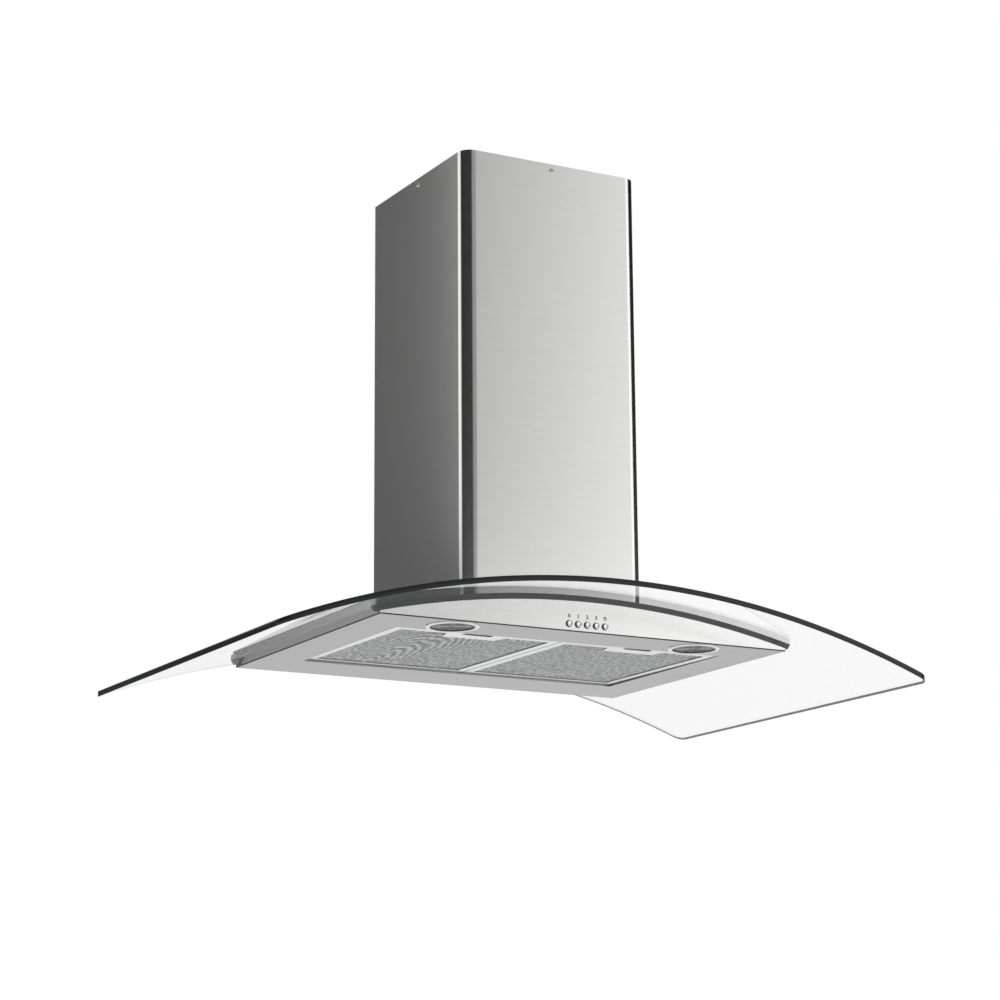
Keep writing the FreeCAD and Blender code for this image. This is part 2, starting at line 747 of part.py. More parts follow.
def blower_screws():
    """Screws in the blower box's foot, in its outlet flange and in the motor bracket's feet."""
    foot_length = box_sheet + frame_plate
    foot_screw = pan_screw(box_screw_radius, box_screw_head, box_screw_head_height, foot_length)
    screws = four_ways(placed(foot_screw, 0, -box_screw_distance(), clamp_top + box_sheet, -Z))
    outlet_length = adapter_flange_sheet + box_sheet + scroll_flange_sheet
    outlet_screw = pan_screw(box_screw_radius, box_screw_head, box_screw_head_height, outlet_length)
    for x, y in outlet_screw_places():
        screws.append(placed(outlet_screw, x, y, box_top + adapter_flange_sheet, -Z))
    bracket_screw = pan_screw(box_screw_radius, box_screw_head, box_screw_head_height, bracket_sheet + scroll_sheet)
    for y, z in bracket_screw_places():
        screws.append(placed(bracket_screw, -scroll_half - scroll_sheet - bracket_sheet, y, z, X))
    return Part.makeCompound(screws)


def spiral_edge(grow, start_angle):
    """Spiral about the wheel's axis, widened by grow, from start_angle round to the outlet's outer wall."""
    points = []
    for i in range(spiral_points):
        angle = start_angle + (2 * math.pi - start_angle) * i / (spiral_points - 1)
        radius = scroll_start_radius * math.exp(spiral_growth * (angle - tongue_angle)) + grow
        points.append(V(0, wheel_y + radius * math.cos(angle), wheel_z + radius * math.sin(angle)))
    curve = Part.BSplineCurve()
    curve.interpolate(points)
    return curve.toShape()


def scroll_outline(grow):
    """Face in the plane x = 0: the spiral and its straight outlet, up to the blower box's top."""
    offset = scroll_start_radius * math.cos(tongue_angle) - grow
    start_angle = math.acos(offset / (scroll_start_radius + grow))
    spiral = spiral_edge(grow, start_angle)
    start = spiral.Vertexes[0].Point
    end = spiral.Vertexes[1].Point
    top = box_top - box_sheet
    corners = [end, V(0, end.y, top), V(0, start.y, top), start]
    lines = [Part.makeLine(corners[i], corners[i + 1]) for i in range(3)]
    return Part.Face(Part.Wire([spiral] + lines))


def scroll_half_shell():
    """Right half of the spiral housing, with its round inlet and outlet flange."""
    outer = scroll_outline(scroll_sheet).extrude(X * (scroll_half + scroll_sheet))
    inner = scroll_outline(0).extrude(X * scroll_half)
    x0 = scroll_half
    lip = Part.makeCone(scroll_inlet_radius + scroll_sheet, scroll_inlet_radius + scroll_inlet_lip + scroll_sheet,
                        scroll_inlet_lip, V(x0 + scroll_sheet, wheel_y, wheel_z), X)
    throat = rod(x0 - 1, wheel_y, wheel_z, X, scroll_inlet_radius, scroll_sheet + scroll_inlet_lip + 2)
    flare = Part.makeCone(scroll_inlet_radius, scroll_inlet_radius + scroll_inlet_lip, scroll_inlet_lip,
                          V(x0 + scroll_sheet, wheel_y, wheel_z), X)
    top = box_top - box_sheet
    flange = box(x0, x0 + scroll_sheet + scroll_flange, outlet_front, outlet_front + scroll_outlet,
                 top - scroll_flange_sheet, top)
    shell = outer.fuse([lip, flange]).cut([inner, throat, flare])
    holes = [rod(x0 - 1, y, z, X, box_screw_radius, scroll_sheet + 2) for y, z in bracket_screw_places()]
    for x, y in outlet_screw_places():
        if x > 0:
            holes.append(rod(x, y, top - scroll_flange_sheet - 1, Z, box_screw_radius, scroll_flange_sheet + 2))
    return shell.cut(holes).removeSplitter()


def wheel_blade():
    """One forward-curved blade, a thin crescent along the wheel."""
    def at(radius, degrees):
        turn = math.radians(degrees)
        return V(-wheel_length / 2, wheel_y + radius * math.cos(turn), wheel_z + radius * math.sin(turn))
    half_turn = math.degrees(wheel_blade_sheet / wheel_inner_radius) / 2
    middle_radius = (wheel_inner_radius + wheel_radius) / 2
    bow = math.degrees(wheel_blade_bow / middle_radius)
    tip = wheel_blade_lean / 2
    back = Part.Arc(at(wheel_inner_radius, -half_turn), at(middle_radius, tip / 2 - bow / 2 - half_turn),
                    at(wheel_radius, tip - half_turn)).toShape()
    front = Part.Arc(at(wheel_inner_radius, half_turn), at(middle_radius, tip / 2 - bow / 2 + half_turn),
                     at(wheel_radius, tip + half_turn)).toShape()
    root = Part.makeLine(front.Vertexes[0].Point, back.Vertexes[0].Point)
    end = Part.makeLine(back.Vertexes[1].Point, front.Vertexes[1].Point)
    return Part.Face(Part.Wire([root, back, end, front])).extrude(X * wheel_length)


def wheel_rings():
    """Ring round the blades' tips at each end of the wheel."""
    inner = (wheel_inner_radius + wheel_radius) / 2
    rings = []
    for x in (-wheel_length / 2, wheel_length / 2 - wheel_disc):
        ring = rod(x, wheel_y, wheel_z, X, wheel_radius, wheel_disc)
        rings.append(ring.cut(rod(x - 1, wheel_y, wheel_z, X, inner, wheel_disc + 2)))
    return Part.makeCompound(rings)


def wheel_hub():
    """Middle disc with its hub. The disc's rim sits in notches in the blades."""
    disc = rod(-wheel_disc / 2, wheel_y, wheel_z, X, wheel_inner_radius + wheel_blade_seat, wheel_disc)
    hub = rod(-wheel_hub_length / 2, wheel_y, wheel_z, X, wheel_hub_radius, wheel_hub_length)
    bore = rod(-wheel_hub_length, wheel_y, wheel_z, X, shaft_radius, 2 * wheel_hub_length)
    return disc.fuse(hub).cut(bore).removeSplitter()


def wheel_blade_row():
    """All the blades, notched for the middle disc and for the rings."""
    blade = wheel_blade().cut([wheel_hub(), wheel_rings()])
    centre = V(0, wheel_y, wheel_z)
    return Part.makeCompound([blade.rotated(centre, X, 360.0 * i / wheel_blades) for i in range(wheel_blades)])


def motor_face():
    """Outer end of the motor, against its bracket, level with the left inlet's lip."""
    return -scroll_half - scroll_sheet - scroll_inlet_lip


def motor():
    x0 = motor_face()
    body = rod(x0, wheel_y, wheel_z, X, motor_radius, motor_length)
    ends = [e for e in body.Edges if len(e.Vertexes) == 1 and e.Vertexes[0].X > x0 + 1]
    body = body.makeChamfer(motor_chamfer, ends)
    back_length = bracket_sheet * 3
    back = rod(x0 - back_length, wheel_y, wheel_z, X, motor_boss_radius, back_length)
    boss = rod(x0 + motor_length, wheel_y, wheel_z, X, shaft_radius * 2, bracket_sheet)
    bore_length = motor_length - shaft_start + bracket_sheet
    bore = rod(x0 + shaft_start, wheel_y, wheel_z, X, shaft_radius + running_gap, bore_length)
    return body.fuse([back, boss]).cut(bore).removeSplitter()


def motor_shaft():
    x0 = motor_face() + shaft_start + free_gap
    return rod(x0, wheel_y, wheel_z, X, shaft_radius, wheel_hub_length / 2 - x0)


def bracket_screw_radius():
    """From the wheel's axis to the screws in the bracket's feet."""
    return scroll_inlet_radius + scroll_inlet_lip + scroll_sheet + bracket_gap + bracket_sheet + bracket_foot / 2


def bracket_screw_places():
    """Points (y, z) of the three screws, one in each foot."""
    angles = [math.radians(90 + 120 * i) for i in range(3)]
    reach = bracket_screw_radius()
    return [(wheel_y + reach * math.cos(a), wheel_z + reach * math.sin(a)) for a in angles]


def motor_bracket():
    """Three-armed spider that steps over the left inlet's lip to feet on the housing's side."""
    x0 = motor_face() - bracket_sheet
    x1 = -scroll_half - scroll_sheet
    riser = scroll_inlet_radius + scroll_inlet_lip + scroll_sheet + bracket_gap
    y0 = wheel_y - bracket_arm / 2
    y1 = wheel_y + bracket_arm / 2
    straps = [box(x0, x0 + bracket_sheet, y0, y1, wheel_z, wheel_z + riser + bracket_sheet),
              box(x0, x1, y0, y1, wheel_z + riser, wheel_z + riser + bracket_sheet),
              box(x1 - bracket_sheet, x1, y0, y1, wheel_z + riser, wheel_z + riser + bracket_sheet + bracket_foot)]
    arm = straps[0].fuse(straps[1:])
    centre = V(0, wheel_y, wheel_z)
    arms = [arm.rotated(centre, X, 120 * i) for i in range(3)]
    spider = rod(x0, wheel_y, wheel_z, X, bracket_hub_radius, bracket_sheet).fuse(arms)
    cuts = [rod(x0 - 1, wheel_y, wheel_z, X, motor_boss_radius, bracket_sheet + 2)]
    for y, z in bracket_screw_places():
        cuts.append(rod(x1 - bracket_sheet - 1, y, z, X, box_screw_radius, bracket_sheet + 2))
    return spider.cut(cuts).removeSplitter()


# Outlet above the blower box

def transition_block(grow, z0, z1):
    """Block from the outlet's rectangle to the collar's circle, with flat sides and folded corners."""
    y0 = outlet_front - grow
    y1 = outlet_front + scroll_outlet + grow
    half = scroll_half + grow
    radius = duct_radius - collar_sheet + grow
    corners = [V(half, y1, z0), V(-half, y1, z0), V(-half, y0, z0), V(half, y0, z0)]
    count = 4 * adapter_corner_folds
    turns = [2 * math.pi * i / count for i in range(count)]
    rim = [V(radius * math.cos(turn), radius * math.sin(turn), z1) for turn in turns]
    outlines = [corners, rim]
    for i, corner in enumerate(corners):
        first = i * adapter_corner_folds
        last = first + adapter_corner_folds
        for k in range(first, last):
            outlines.append([corner, rim[k], rim[(k + 1) % count]])
        outlines.append([corner, corners[(i + 1) % 4], rim[last % count]])
    faces = [Part.Face(Part.makePolygon(points + points[:1])) for points in outlines]
    return Part.makeSolid(Part.makeShell(faces))


def outlet_adapter():
    """Transition from the spiral housing's rectangular outlet to the round collar."""
    z0 = box_top + adapter_flange_sheet
    shell = transition_block(adapter_sheet, z0, collar_bottom)
    flange_half = scroll_half + scroll_sheet + scroll_flange
    y1 = outlet_front + scroll_outlet + scroll_sheet * 2
    flange = box(-flange_half, flange_half, outlet_front - scroll_flange, y1, box_top, z0)
    hollow = transition_block(0, z0, collar_bottom)
    inlet = box(-scroll_half, scroll_half, outlet_front, outlet_front + scroll_outlet, box_top - 1, z0)
    holes = [rod(x, y, box_top - 1, Z, box_screw_radius, adapter_flange_sheet + 2) for x, y in outlet_screw_places()]
    return shell.fuse(flange).cut([hollow, inlet] + holes)


def flap_axis_z():
    return collar_bottom + flap_level


def duct_collar():
    """Round spigot for the duct, with a ledge that the closed flaps rest on."""
    inner = duct_radius - collar_sheet
    collar = rod(0, 0, collar_bottom, Z, duct_radius, collar_height)
    collar = collar.fuse(rod(0, 0, collar_bottom, Z, collar_base_radius, collar_base_sheet))
    collar = collar.cut(rod(0, 0, collar_bottom - 1, Z, inner, collar_height + 2))
    ledge_top = flap_axis_z() - flap_sheet / 2 - free_gap
    ledge = rod(0, 0, ledge_top - collar_sheet, Z, inner, collar_sheet)
    ledge = ledge.cut(rod(0, 0, ledge_top - collar_sheet - 1, Z, inner - flap_ledge, collar_sheet + 2))
    gate = flap_knuckle_radius + free_gap
    ledge = ledge.cut(box(-duct_radius, duct_radius, -gate, gate, ledge_top - 2 * collar_sheet, ledge_top + 1))
    pin_hole = rod(-duct_radius - 1, 0, flap_axis_z(), X, flap_pin_radius, 2 * duct_radius + 2)
    return collar.fuse(ledge).cut(pin_hole).removeSplitter()


def flap_pin():
    return rod(-duct_radius, 0, flap_axis_z(), X, flap_pin_radius, 2 * duct_radius)


def flap(way, first):
    """Half-round flap on the side way (-1 front, 1 rear), holding every second knuckle from first."""
    z = flap_axis_z()
    radius = duct_radius - collar_sheet - flap_rim_gap
    disc = rod(0, 0, z - flap_sheet / 2, Z, radius, flap_sheet)
    y0, y1 = sorted((way * flap_split, way * radius))
    plate = disc.common(box(-radius, radius, y0, y1, z - 1, z + 1))
    span = 2 * (radius - flap_split) / flap_knuckles
    pieces = []
    for i in range(first, flap_knuckles, 2):
        x0 = -radius + flap_split + span * i + free_gap
        length = span - 2 * free_gap
        knuckle = rod(x0, 0, z, X, flap_knuckle_radius, length)
        a0, a1 = sorted((0, way * (flap_split + 1)))
        pieces += [knuckle, box(x0, x0 + length, a0, a1, z - flap_sheet / 2, z + flap_sheet / 2)]
    bore = rod(-duct_radius, 0, z, X, flap_pin_radius + running_gap, 2 * duct_radius)
    return plate.fuse(pieces).cut(bore).removeSplitter()


# Terminal box, switch block and buttons

def terminal_y():
    """Front and back of the terminal box."""
    front = -box_width / 2 + terminal_front
    return front, front + terminal_depth


def terminal_box():
    y0, y1 = terminal_y()
    half = terminal_width / 2
    wall = terminal_sheet
    case = box(-half, half, y0, y1, box_top, box_top + terminal_height)
    uprights = [e for e in case.Edges if abs(e.Vertexes[0].Z - e.Vertexes[1].Z) > 1]
    case = case.makeFillet(wall * 2, uprights)
    return case.cut(box(-half + wall, half - wall, y0 + wall, y1 - wall, box_top + wall, box_top + terminal_height + 1))


def terminal_box_lid():
    y0, y1 = terminal_y()
    half = terminal_width / 2
    z0 = box_top + terminal_height
    lid = rounded_prism(2 * half, terminal_depth, terminal_sheet * 2, z0, z0 + terminal_lid, 0, (y0 + y1) / 2)
    return lid.cut(rod(gland_x, y0 + gland_back, z0 - 1, Z, gland_stem_radius, terminal_lid + 2))


def cable_gland():
    """Threaded stem in the lid and a domed nut, bored for the supply cable."""
    y0 = terminal_y()[0]
    z0 = box_top + terminal_height + terminal_lid
    y = y0 + gland_back
    z_stem = z0 - terminal_lid - gland_stem_reach
    stem = rod(gland_x, y, z_stem, Z, gland_stem_radius, z0 + gland_nut_height - z_stem)
    nut = hexagon(gland_x, y, z0, Z, gland_radius, gland_nut_height)
    dome = Part.makeCone(gland_dome_radius, gland_bore + gland_mouth_wall, gland_height - gland_nut_height,
                         V(gland_x, y, z0 + gland_nut_height), Z)
    bore = rod(gland_x, y, z_stem - 1, Z, gland_bore, z0 + gland_height - z_stem + 2)
    return stem.fuse([nut, dome]).cut(bore).removeSplitter()


def switch_housing():
    """Block behind the fascia that guides the push buttons."""
    places = button_places()
    level = body_bottom + button_level
    y0 = body_front + body_sheet
    z0 = body_bottom + body_sheet + switch_lift
    block = box(places[0] - switch_margin, places[-1] + switch_margin, y0, y0 + switch_depth, z0, z0 + switch_height)
    shoulder_radius = button_radius + button_shoulder + free_gap
    cuts = []
    for x in places:
        cuts.append(rod(x, y0 - 1, level, Y, shoulder_radius, button_shoulder_space() + 1))
        cuts.append(rod(x, y0, level, Y, button_radius + free_gap, button_length + button_travel))
    return block.cut(cuts)


def button_shoulder_space():
    """Depth behind the fascia that a button's shoulder moves in."""
    return free_gap + button_shoulder_length + button_travel + free_gap


def push_button(x):
    level = body_bottom + button_level
    y0 = body_front - button_proud
    cap = rod(x, y0, level, Y, button_radius, button_length)
    rim = [e for e in cap.Edges if len(e.Vertexes) == 1 and e.Vertexes[0].Y < y0 + 1]
    cap = cap.makeChamfer(button_dish, rim)
    y_shoulder = body_front + body_sheet + free_gap
    cap = cap.fuse(rod(x, y_shoulder, level, Y, button_radius + button_shoulder, button_shoulder_length))
    dish = Part.makeCone(button_dish_radius, button_dish_floor, button_dish, V(x, y0, level), Y)
    return cap.cut(dish).removeSplitter()


def all_parts():
    parts = {
        "ceiling_plate": ceiling_plate(),
        "chimney_cover": chimney_cover(),
        "chimney_screws": chimney_screws(),
        "support_post_front_left": support_post(-1, -1),
        "support_post_front_right": support_post(1, -1),
        "support_post_rear_left": support_post(-1, 1),
        "support_post_rear_right": support_post(1, 1),
        "post_bolts": post_bolts(),
        "clamp_frame": clamp_frame(),
        "clamp_bolts": clamp_bolts(),
        "clamp_nuts": clamp_nuts(),
        "glass_bushes": glass_bushes(),
        "glass_canopy": glass_canopy(),
        "air_gasket": air_gasket(),
        "body_top_panel": body_top_panel(),
        "stiffener_frame": stiffener_frame(),
        "front_glass_rail": glass_rail(),
        "rear_glass_rail": glass_rail().mirror(V(0, 0, 0), Y),
        "front_fascia": front_fascia(),
        "rear_fascia": body_fascia([]).mirror(V(0, 0, 0), Y),
        "underside_panel": underside_panel(),
        "blower_box": blower_box(),
        "blower_screws": blower_screws(),
        "impeller_hub": wheel_hub(),
        "impeller_blades": wheel_blade_row(),
        "impeller_rings": wheel_rings(),
        "motor": motor(),
        "motor_shaft": motor_shaft(),
        "motor_bracket": motor_bracket(),
        "outlet_adapter": outlet_adapter(),
        "duct_collar": duct_collar(),
        "flap_pin": flap_pin(),
        "flap_front": flap(-1, 0),
        "flap_rear": flap(1, 1),
        "terminal_box": terminal_box(),
        "terminal_box_lid": terminal_box_lid(),
        "cable_gland": cable_gland(),
        "switch_housing": switch_housing(),
    }
    right_hand = {
        "side_panel": side_panel(),
        "scroll_housing": scroll_half_shell(),
        "lamp_ring": lamp_ring(),
        "lamp_lens": lamp_lens(),
        "lamp_housing": lamp_housing(),
        "filter_frame": filter_frame(),
        "filter_mesh": filter_mesh(),
        "filter_latch": filter_latch(),
    }
    for name, shape in right_hand.items():
        parts[name + "_right"] = shape
        parts[name + "_left"] = mirrored(shape)
    for i, x in enumerate(button_places()):
        parts["button_%d" % (i + 1)] = push_button(x)
    return parts


def main():
    os.makedirs("parts", exist_ok=True)
    for name, shape in all_parts().items():
        if not shape.isValid():
            raise ValueError(name + " is not a valid shape")
        shape.exportStep("parts/" + name + ".step")
        print(name, len(shape.Solids), round(shape.Volume / 1000, 2), "cm3")


main()
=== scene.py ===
import json
import math

import bmesh
import bpy
from mathutils import Matrix, Vector


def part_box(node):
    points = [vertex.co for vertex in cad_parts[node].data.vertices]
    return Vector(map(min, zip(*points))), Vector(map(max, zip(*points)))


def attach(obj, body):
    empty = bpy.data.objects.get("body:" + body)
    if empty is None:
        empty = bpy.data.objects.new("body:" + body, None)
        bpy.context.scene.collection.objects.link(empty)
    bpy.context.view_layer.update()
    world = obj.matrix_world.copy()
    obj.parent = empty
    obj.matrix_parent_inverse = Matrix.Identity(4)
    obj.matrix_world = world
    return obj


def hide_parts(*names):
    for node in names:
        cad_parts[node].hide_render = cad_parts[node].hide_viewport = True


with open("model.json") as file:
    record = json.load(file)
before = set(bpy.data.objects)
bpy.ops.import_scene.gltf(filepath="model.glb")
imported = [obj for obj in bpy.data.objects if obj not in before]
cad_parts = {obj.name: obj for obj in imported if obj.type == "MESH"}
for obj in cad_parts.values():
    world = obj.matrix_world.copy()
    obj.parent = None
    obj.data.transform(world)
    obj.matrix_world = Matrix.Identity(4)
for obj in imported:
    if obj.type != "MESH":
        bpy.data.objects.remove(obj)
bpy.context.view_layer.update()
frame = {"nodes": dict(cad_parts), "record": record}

nodes = frame["nodes"]
bodies = frame["record"]["behaviour"]["bodies"]
print("frame:", len(nodes), "nodes")


# Small helpers

def bodyOf(nodeName):
    return next(body for body, members in bodies.items() if nodeName in members)


def slotOf(nodeName):
    return nodes[nodeName].data.materials[0].name.split(".")[0]


def middleOf(nodeName):
    return [(low + high) / 2 for low, high in zip(*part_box(nodeName))]


def newPiece(name, mesh):
    piece = bpy.data.objects.new(name, mesh)
    bpy.context.scene.collection.objects.link(piece)
    return piece


def smoothByAngle(mesh, degrees):
    mesh.shade_smooth()
    mesh.set_sharp_from_angle(angle=math.radians(degrees))


def weld(shape, gap=1e-6):
    bmesh.ops.remove_doubles(shape, verts=shape.verts, dist=gap)


def mergedCopy(nodeName, flatWithin):
    shape = bmesh.new()
    shape.from_mesh(nodes[nodeName].data)
    weld(shape)
    bmesh.ops.dissolve_limit(shape, angle_limit=math.radians(flatWithin), verts=shape.verts, edges=shape.edges)
    return shape


def cutPlane(shape, place, normal, gap=0.0):
    everything = shape.verts[:] + shape.edges[:] + shape.faces[:]
    bmesh.ops.bisect_plane(shape, geom=everything, plane_co=place, plane_no=normal, dist=gap)


def meshFrom(name, shape):
    mesh = bpy.data.meshes.new(name)
    shape.to_mesh(mesh)
    shape.free()
    return mesh


# Small helpers for node trees

def setSockets(tree, node, inputs):
    for socket, value in inputs.items():
        if isinstance(value, bpy.types.NodeSocket):
            tree.links.new(value, node.inputs[socket])
        else:
            node.inputs[socket].default_value = value


def addNode(tree, kind, inputs=None, **settings):
    node = tree.nodes.new(kind)
    for name, value in settings.items():
        setattr(node, name, value)
    setSockets(tree, node, inputs or {})
    return node


def doMath(tree, operation, *values):
    return addNode(tree, "ShaderNodeMath", dict(enumerate(values)), operation=operation).outputs[0]


def remap(tree, value, fromLow, fromHigh, toLow=0.0, toHigh=1.0):
    return addNode(tree, "ShaderNodeMapRange", {"Value": value, "From Min": fromLow, "From Max": fromHigh,
                                                "To Min": toLow, "To Max": toHigh}).outputs[0]


# Noise mostly stays between these two values

noiseLow, noiseHigh = 0.25, 0.75


def spread(tree, value, low, high):
    return remap(tree, value, noiseLow, noiseHigh, low, high)


def blend(tree, share, first, second):
    return addNode(tree, "ShaderNodeMix", {0: share, 2: first, 3: second}).outputs[0]


def blendColours(tree, share, first, second):
    return addNode(tree, "ShaderNodeMix", {0: share, 6: first, 7: second}, data_type="RGBA").outputs[2]


def objectPlace(tree):
    place = addNode(tree, "ShaderNodeTexCoord").outputs["Object"]
    return addNode(tree, "ShaderNodeSeparateXYZ", {0: place}).outputs


def reachOf(tree, x, y):
    squares = doMath(tree, "ADD", doMath(tree, "MULTIPLY", x, x), doMath(tree, "MULTIPLY", y, y))
    return doMath(tree, "SQRT", squares)


# Camera at the photograph's viewing angle

cameraView = {"place": (-1.655, -2.985, -1.222), "turn": 28.877, "tilt": 13.194, "roll": -0.406,
              "lens": 96.69, "sensor": 36.0}


def addCamera():
    turn, tilt, roll = (math.radians(cameraView[key]) for key in ("turn", "tilt", "roll"))
    forward = Vector((math.sin(turn) * math.cos(tilt), math.cos(turn) * math.cos(tilt), math.sin(tilt)))
    right = Vector((math.cos(turn), -math.sin(turn), 0.0))
    up = right.cross(forward)
    rolledRight = right * math.cos(roll) + up * math.sin(roll)
    rolledUp = up * math.cos(roll) - right * math.sin(roll)
    camera = newPiece("camera", bpy.data.cameras.new("camera"))
    camera.data.lens = cameraView["lens"]
    camera.data.sensor_width = cameraView["sensor"]
    matrix = Matrix((rolledRight, rolledUp, -forward)).transposed().to_4x4()
    matrix.translation = Vector(cameraView["place"])
    camera.matrix_world = matrix
    bpy.context.scene.camera = camera


# Pale room: plain white to the eye. Reflections see bright light from below, grey above the horizon, and two dark
# flags, each between two compass angles; the horizon lies a little higher behind the hood.

roomLight = {"below": 0.95, "grey": 0.45, "dark": 0.012, "high": 0.5, "highFrom": 0.5, "highTo": 0.65, "soft": 0.85,
             "darkFlags": [(-112, -7), (60, 132)], "flagEdge": 6, "horizon": 0.08, "higherBehind": 0.05,
             "behindWay": (0.48, 0.88), "behindFrom": 0.1, "behindTo": 0.5}
roomFloor = {"level": -4.2, "half": 12.0, "colour": (0.86, 0.86, 0.85, 1), "roughness": 0.8}


def darkFlags(tree, x, y):
    angle = doMath(tree, "DEGREES", doMath(tree, "ARCTAN2", x, doMath(tree, "MULTIPLY", y, -1.0)))
    edge, flags = roomLight["flagEdge"], None
    for start, end in roomLight["darkFlags"]:
        rise = remap(tree, angle, start - edge, start + edge)
        fall = remap(tree, angle, end - edge, end + edge)
        flag = doMath(tree, "SUBTRACT", rise, fall)
        flags = flag if flags is None else doMath(tree, "MAXIMUM", flags, flag)
    return flags


def reflectedBands(tree):
    toward = addNode(tree, "ShaderNodeTexCoord").outputs["Generated"]
    x, y, z = addNode(tree, "ShaderNodeSeparateXYZ", {0: toward}).outputs
    wayX, wayY = roomLight["behindWay"]
    behind = doMath(tree, "ADD", doMath(tree, "MULTIPLY", x, wayX), doMath(tree, "MULTIPLY", y, wayY))
    isBehind = remap(tree, behind, roomLight["behindFrom"], roomLight["behindTo"])
    horizon = doMath(tree, "MULTIPLY_ADD", isBehind, roomLight["higherBehind"], roomLight["horizon"])
    middle = blend(tree, darkFlags(tree, x, y), roomLight["grey"], roomLight["dark"])
    upper = remap(tree, z, roomLight["highFrom"], roomLight["highTo"], middle, roomLight["high"])
    return blend(tree, doMath(tree, "LESS_THAN", z, horizon), upper, roomLight["below"])


def paintRoom():
    scene = bpy.context.scene
    scene.view_settings.view_transform = "Standard"
    world = bpy.data.worlds.new("paleRoom")
    scene.world = world
    world.use_nodes = True
    tree = world.node_tree
    tree.nodes.clear()
    path = addNode(tree, "ShaderNodeLightPath").outputs
    straight = doMath(tree, "LESS_THAN", path["Glossy Depth"], 0.5)
    throughGlass = doMath(tree, "MULTIPLY", path["Is Transmission Ray"], straight)
    seen = doMath(tree, "MAXIMUM", path["Is Camera Ray"], throughGlass)
    colour = blendColours(tree, seen, reflectedBands(tree), (1, 1, 1, 1))
    soft = blendColours(tree, path["Is Diffuse Ray"], colour, [roomLight["soft"]] * 3 + [1])
    sky = addNode(tree, "ShaderNodeBackground", {"Color": soft})
    addNode(tree, "ShaderNodeOutputWorld", {0: sky.outputs[0]})


def layFloor():
    half = roomFloor["half"]
    corners = [(-half, -half, 0), (half, -half, 0), (half, half, 0), (-half, half, 0)]
    floor = newPiece("floor", flatPatch("floor", corners))
    floor.location.z = roomFloor["level"]
    floor.data.materials.append(plainMaterial("paleFloor", roomFloor["colour"], roomFloor["roughness"]))
    floor.visible_glossy = False


def flatPatch(name, corners):
    mesh = bpy.data.meshes.new(name)
    mesh.from_pydata(corners, [], [tuple(range(len(corners)))])
    return mesh


def plainMaterial(name, colour, roughness):
    material = bpy.data.materials.new(name)
    material.use_nodes = True
    shader = material.node_tree.nodes["Principled BSDF"]
    shader.inputs["Base Color"].default_value = colour
    shader.inputs["Roughness"].default_value = roughness
    return material


# Light cards that only reflections see. Strength is level + slope along x and z, kept between low and high.

lightCards = {
    "rightCard": {"corners": [(0.42, -1.5, -0.3), (2.5, -1.5, -0.3), (2.5, -1.5, 1.1), (0.42, -1.5, 1.1)],
                  "level": 0.03, "slopeX": 1.25, "slopeZ": -0.16, "low": 0.4, "high": 1.7},
    "fasciaCard": {"corners": [(-0.2, -1.5, -1.3), (2.5, -1.5, -1.3), (2.5, -1.5, -0.3), (-0.2, -1.5, -0.3)],
                   "level": 0.6, "slopeX": 1.1, "slopeZ": 0.0, "low": 0.5, "high": 1.7},
    "cornerCard": {"corners": [(-0.95, 1.27, -0.24), (-1.41, 0.43, -0.24), (-1.41, 0.43, 1.2), (-0.95, 1.27, 1.2)],
                   "level": 1.4, "slopeX": 0.0, "slopeZ": 0.0, "low": 0.4, "high": 1.7},
    "dimCard": {"corners": [(-2.2, 1.9, -1.2), (-0.5, 1.9, -1.2), (-0.5, 1.9, 1.8), (-2.2, 1.9, 1.8)],
                "level": 0.205, "slopeX": 0.05, "slopeZ": 0.0, "low": 0.05, "high": 1.0},
}


def hangCards():
    for name, card in lightCards.items():
        material = bpy.data.materials.new(name)
        material.use_nodes = True
        tree = material.node_tree
        tree.nodes.clear()
        place = objectPlace(tree)
        alongX = doMath(tree, "MULTIPLY_ADD", place["X"], card["slopeX"], card["level"])
        strength = doMath(tree, "MULTIPLY_ADD", place["Z"], card["slopeZ"], alongX)
        kept = addNode(tree, "ShaderNodeClamp", {0: strength, 1: card["low"], 2: card["high"]})
        glow = addNode(tree, "ShaderNodeEmission", {"Strength": kept.outputs[0]})
        depth = addNode(tree, "ShaderNodeLightPath").outputs["Glossy Depth"]
        clear = addNode(tree, "ShaderNodeBsdfTransparent")
        mix = addNode(tree, "ShaderNodeMixShader", {0: doMath(tree, "MINIMUM", depth, 1.0),
                                                    1: clear.outputs[0], 2: glow.outputs[0]})
        addNode(tree, "ShaderNodeOutputMaterial", {0: mix.outputs[0]})
        piece = newPiece(name, flatPatch(name, card["corners"]))
        piece.data.materials.append(material)
        piece.visible_camera = piece.visible_diffuse = piece.visible_shadow = False


# Two wide lamps for a little soft light; both look at the same target

softLamps = {"key": {"place": (-2.2, -2.6, 2.2), "size": 2.5, "power": 40.0},
             "fill": {"place": (2.6, -1.8, 1.8), "size": 3.0, "power": 20.0}}
lampTarget = (0, 0, -0.4)


def addSoftLamps():
    for name, lamp in softLamps.items():
        light = bpy.data.lights.new(name, "AREA")
        light.size = lamp["size"]
        light.energy = lamp["power"]
        piece = newPiece(name, light)
        piece.location = lamp["place"]
        piece.rotation_euler = (Vector(lampTarget) - piece.location).to_track_quat("-Z", "Y").to_euler()
        piece.visible_glossy = False


# Materials

def startMaterial(name):
    material = bpy.data.materials.new(name)
    material.use_nodes = True
    tree = material.node_tree
    tree.nodes.clear()
    shader = addNode(tree, "ShaderNodeBsdfPrincipled")
    addNode(tree, "ShaderNodeOutputMaterial", {0: shader.outputs[0]})
    return material, tree, shader


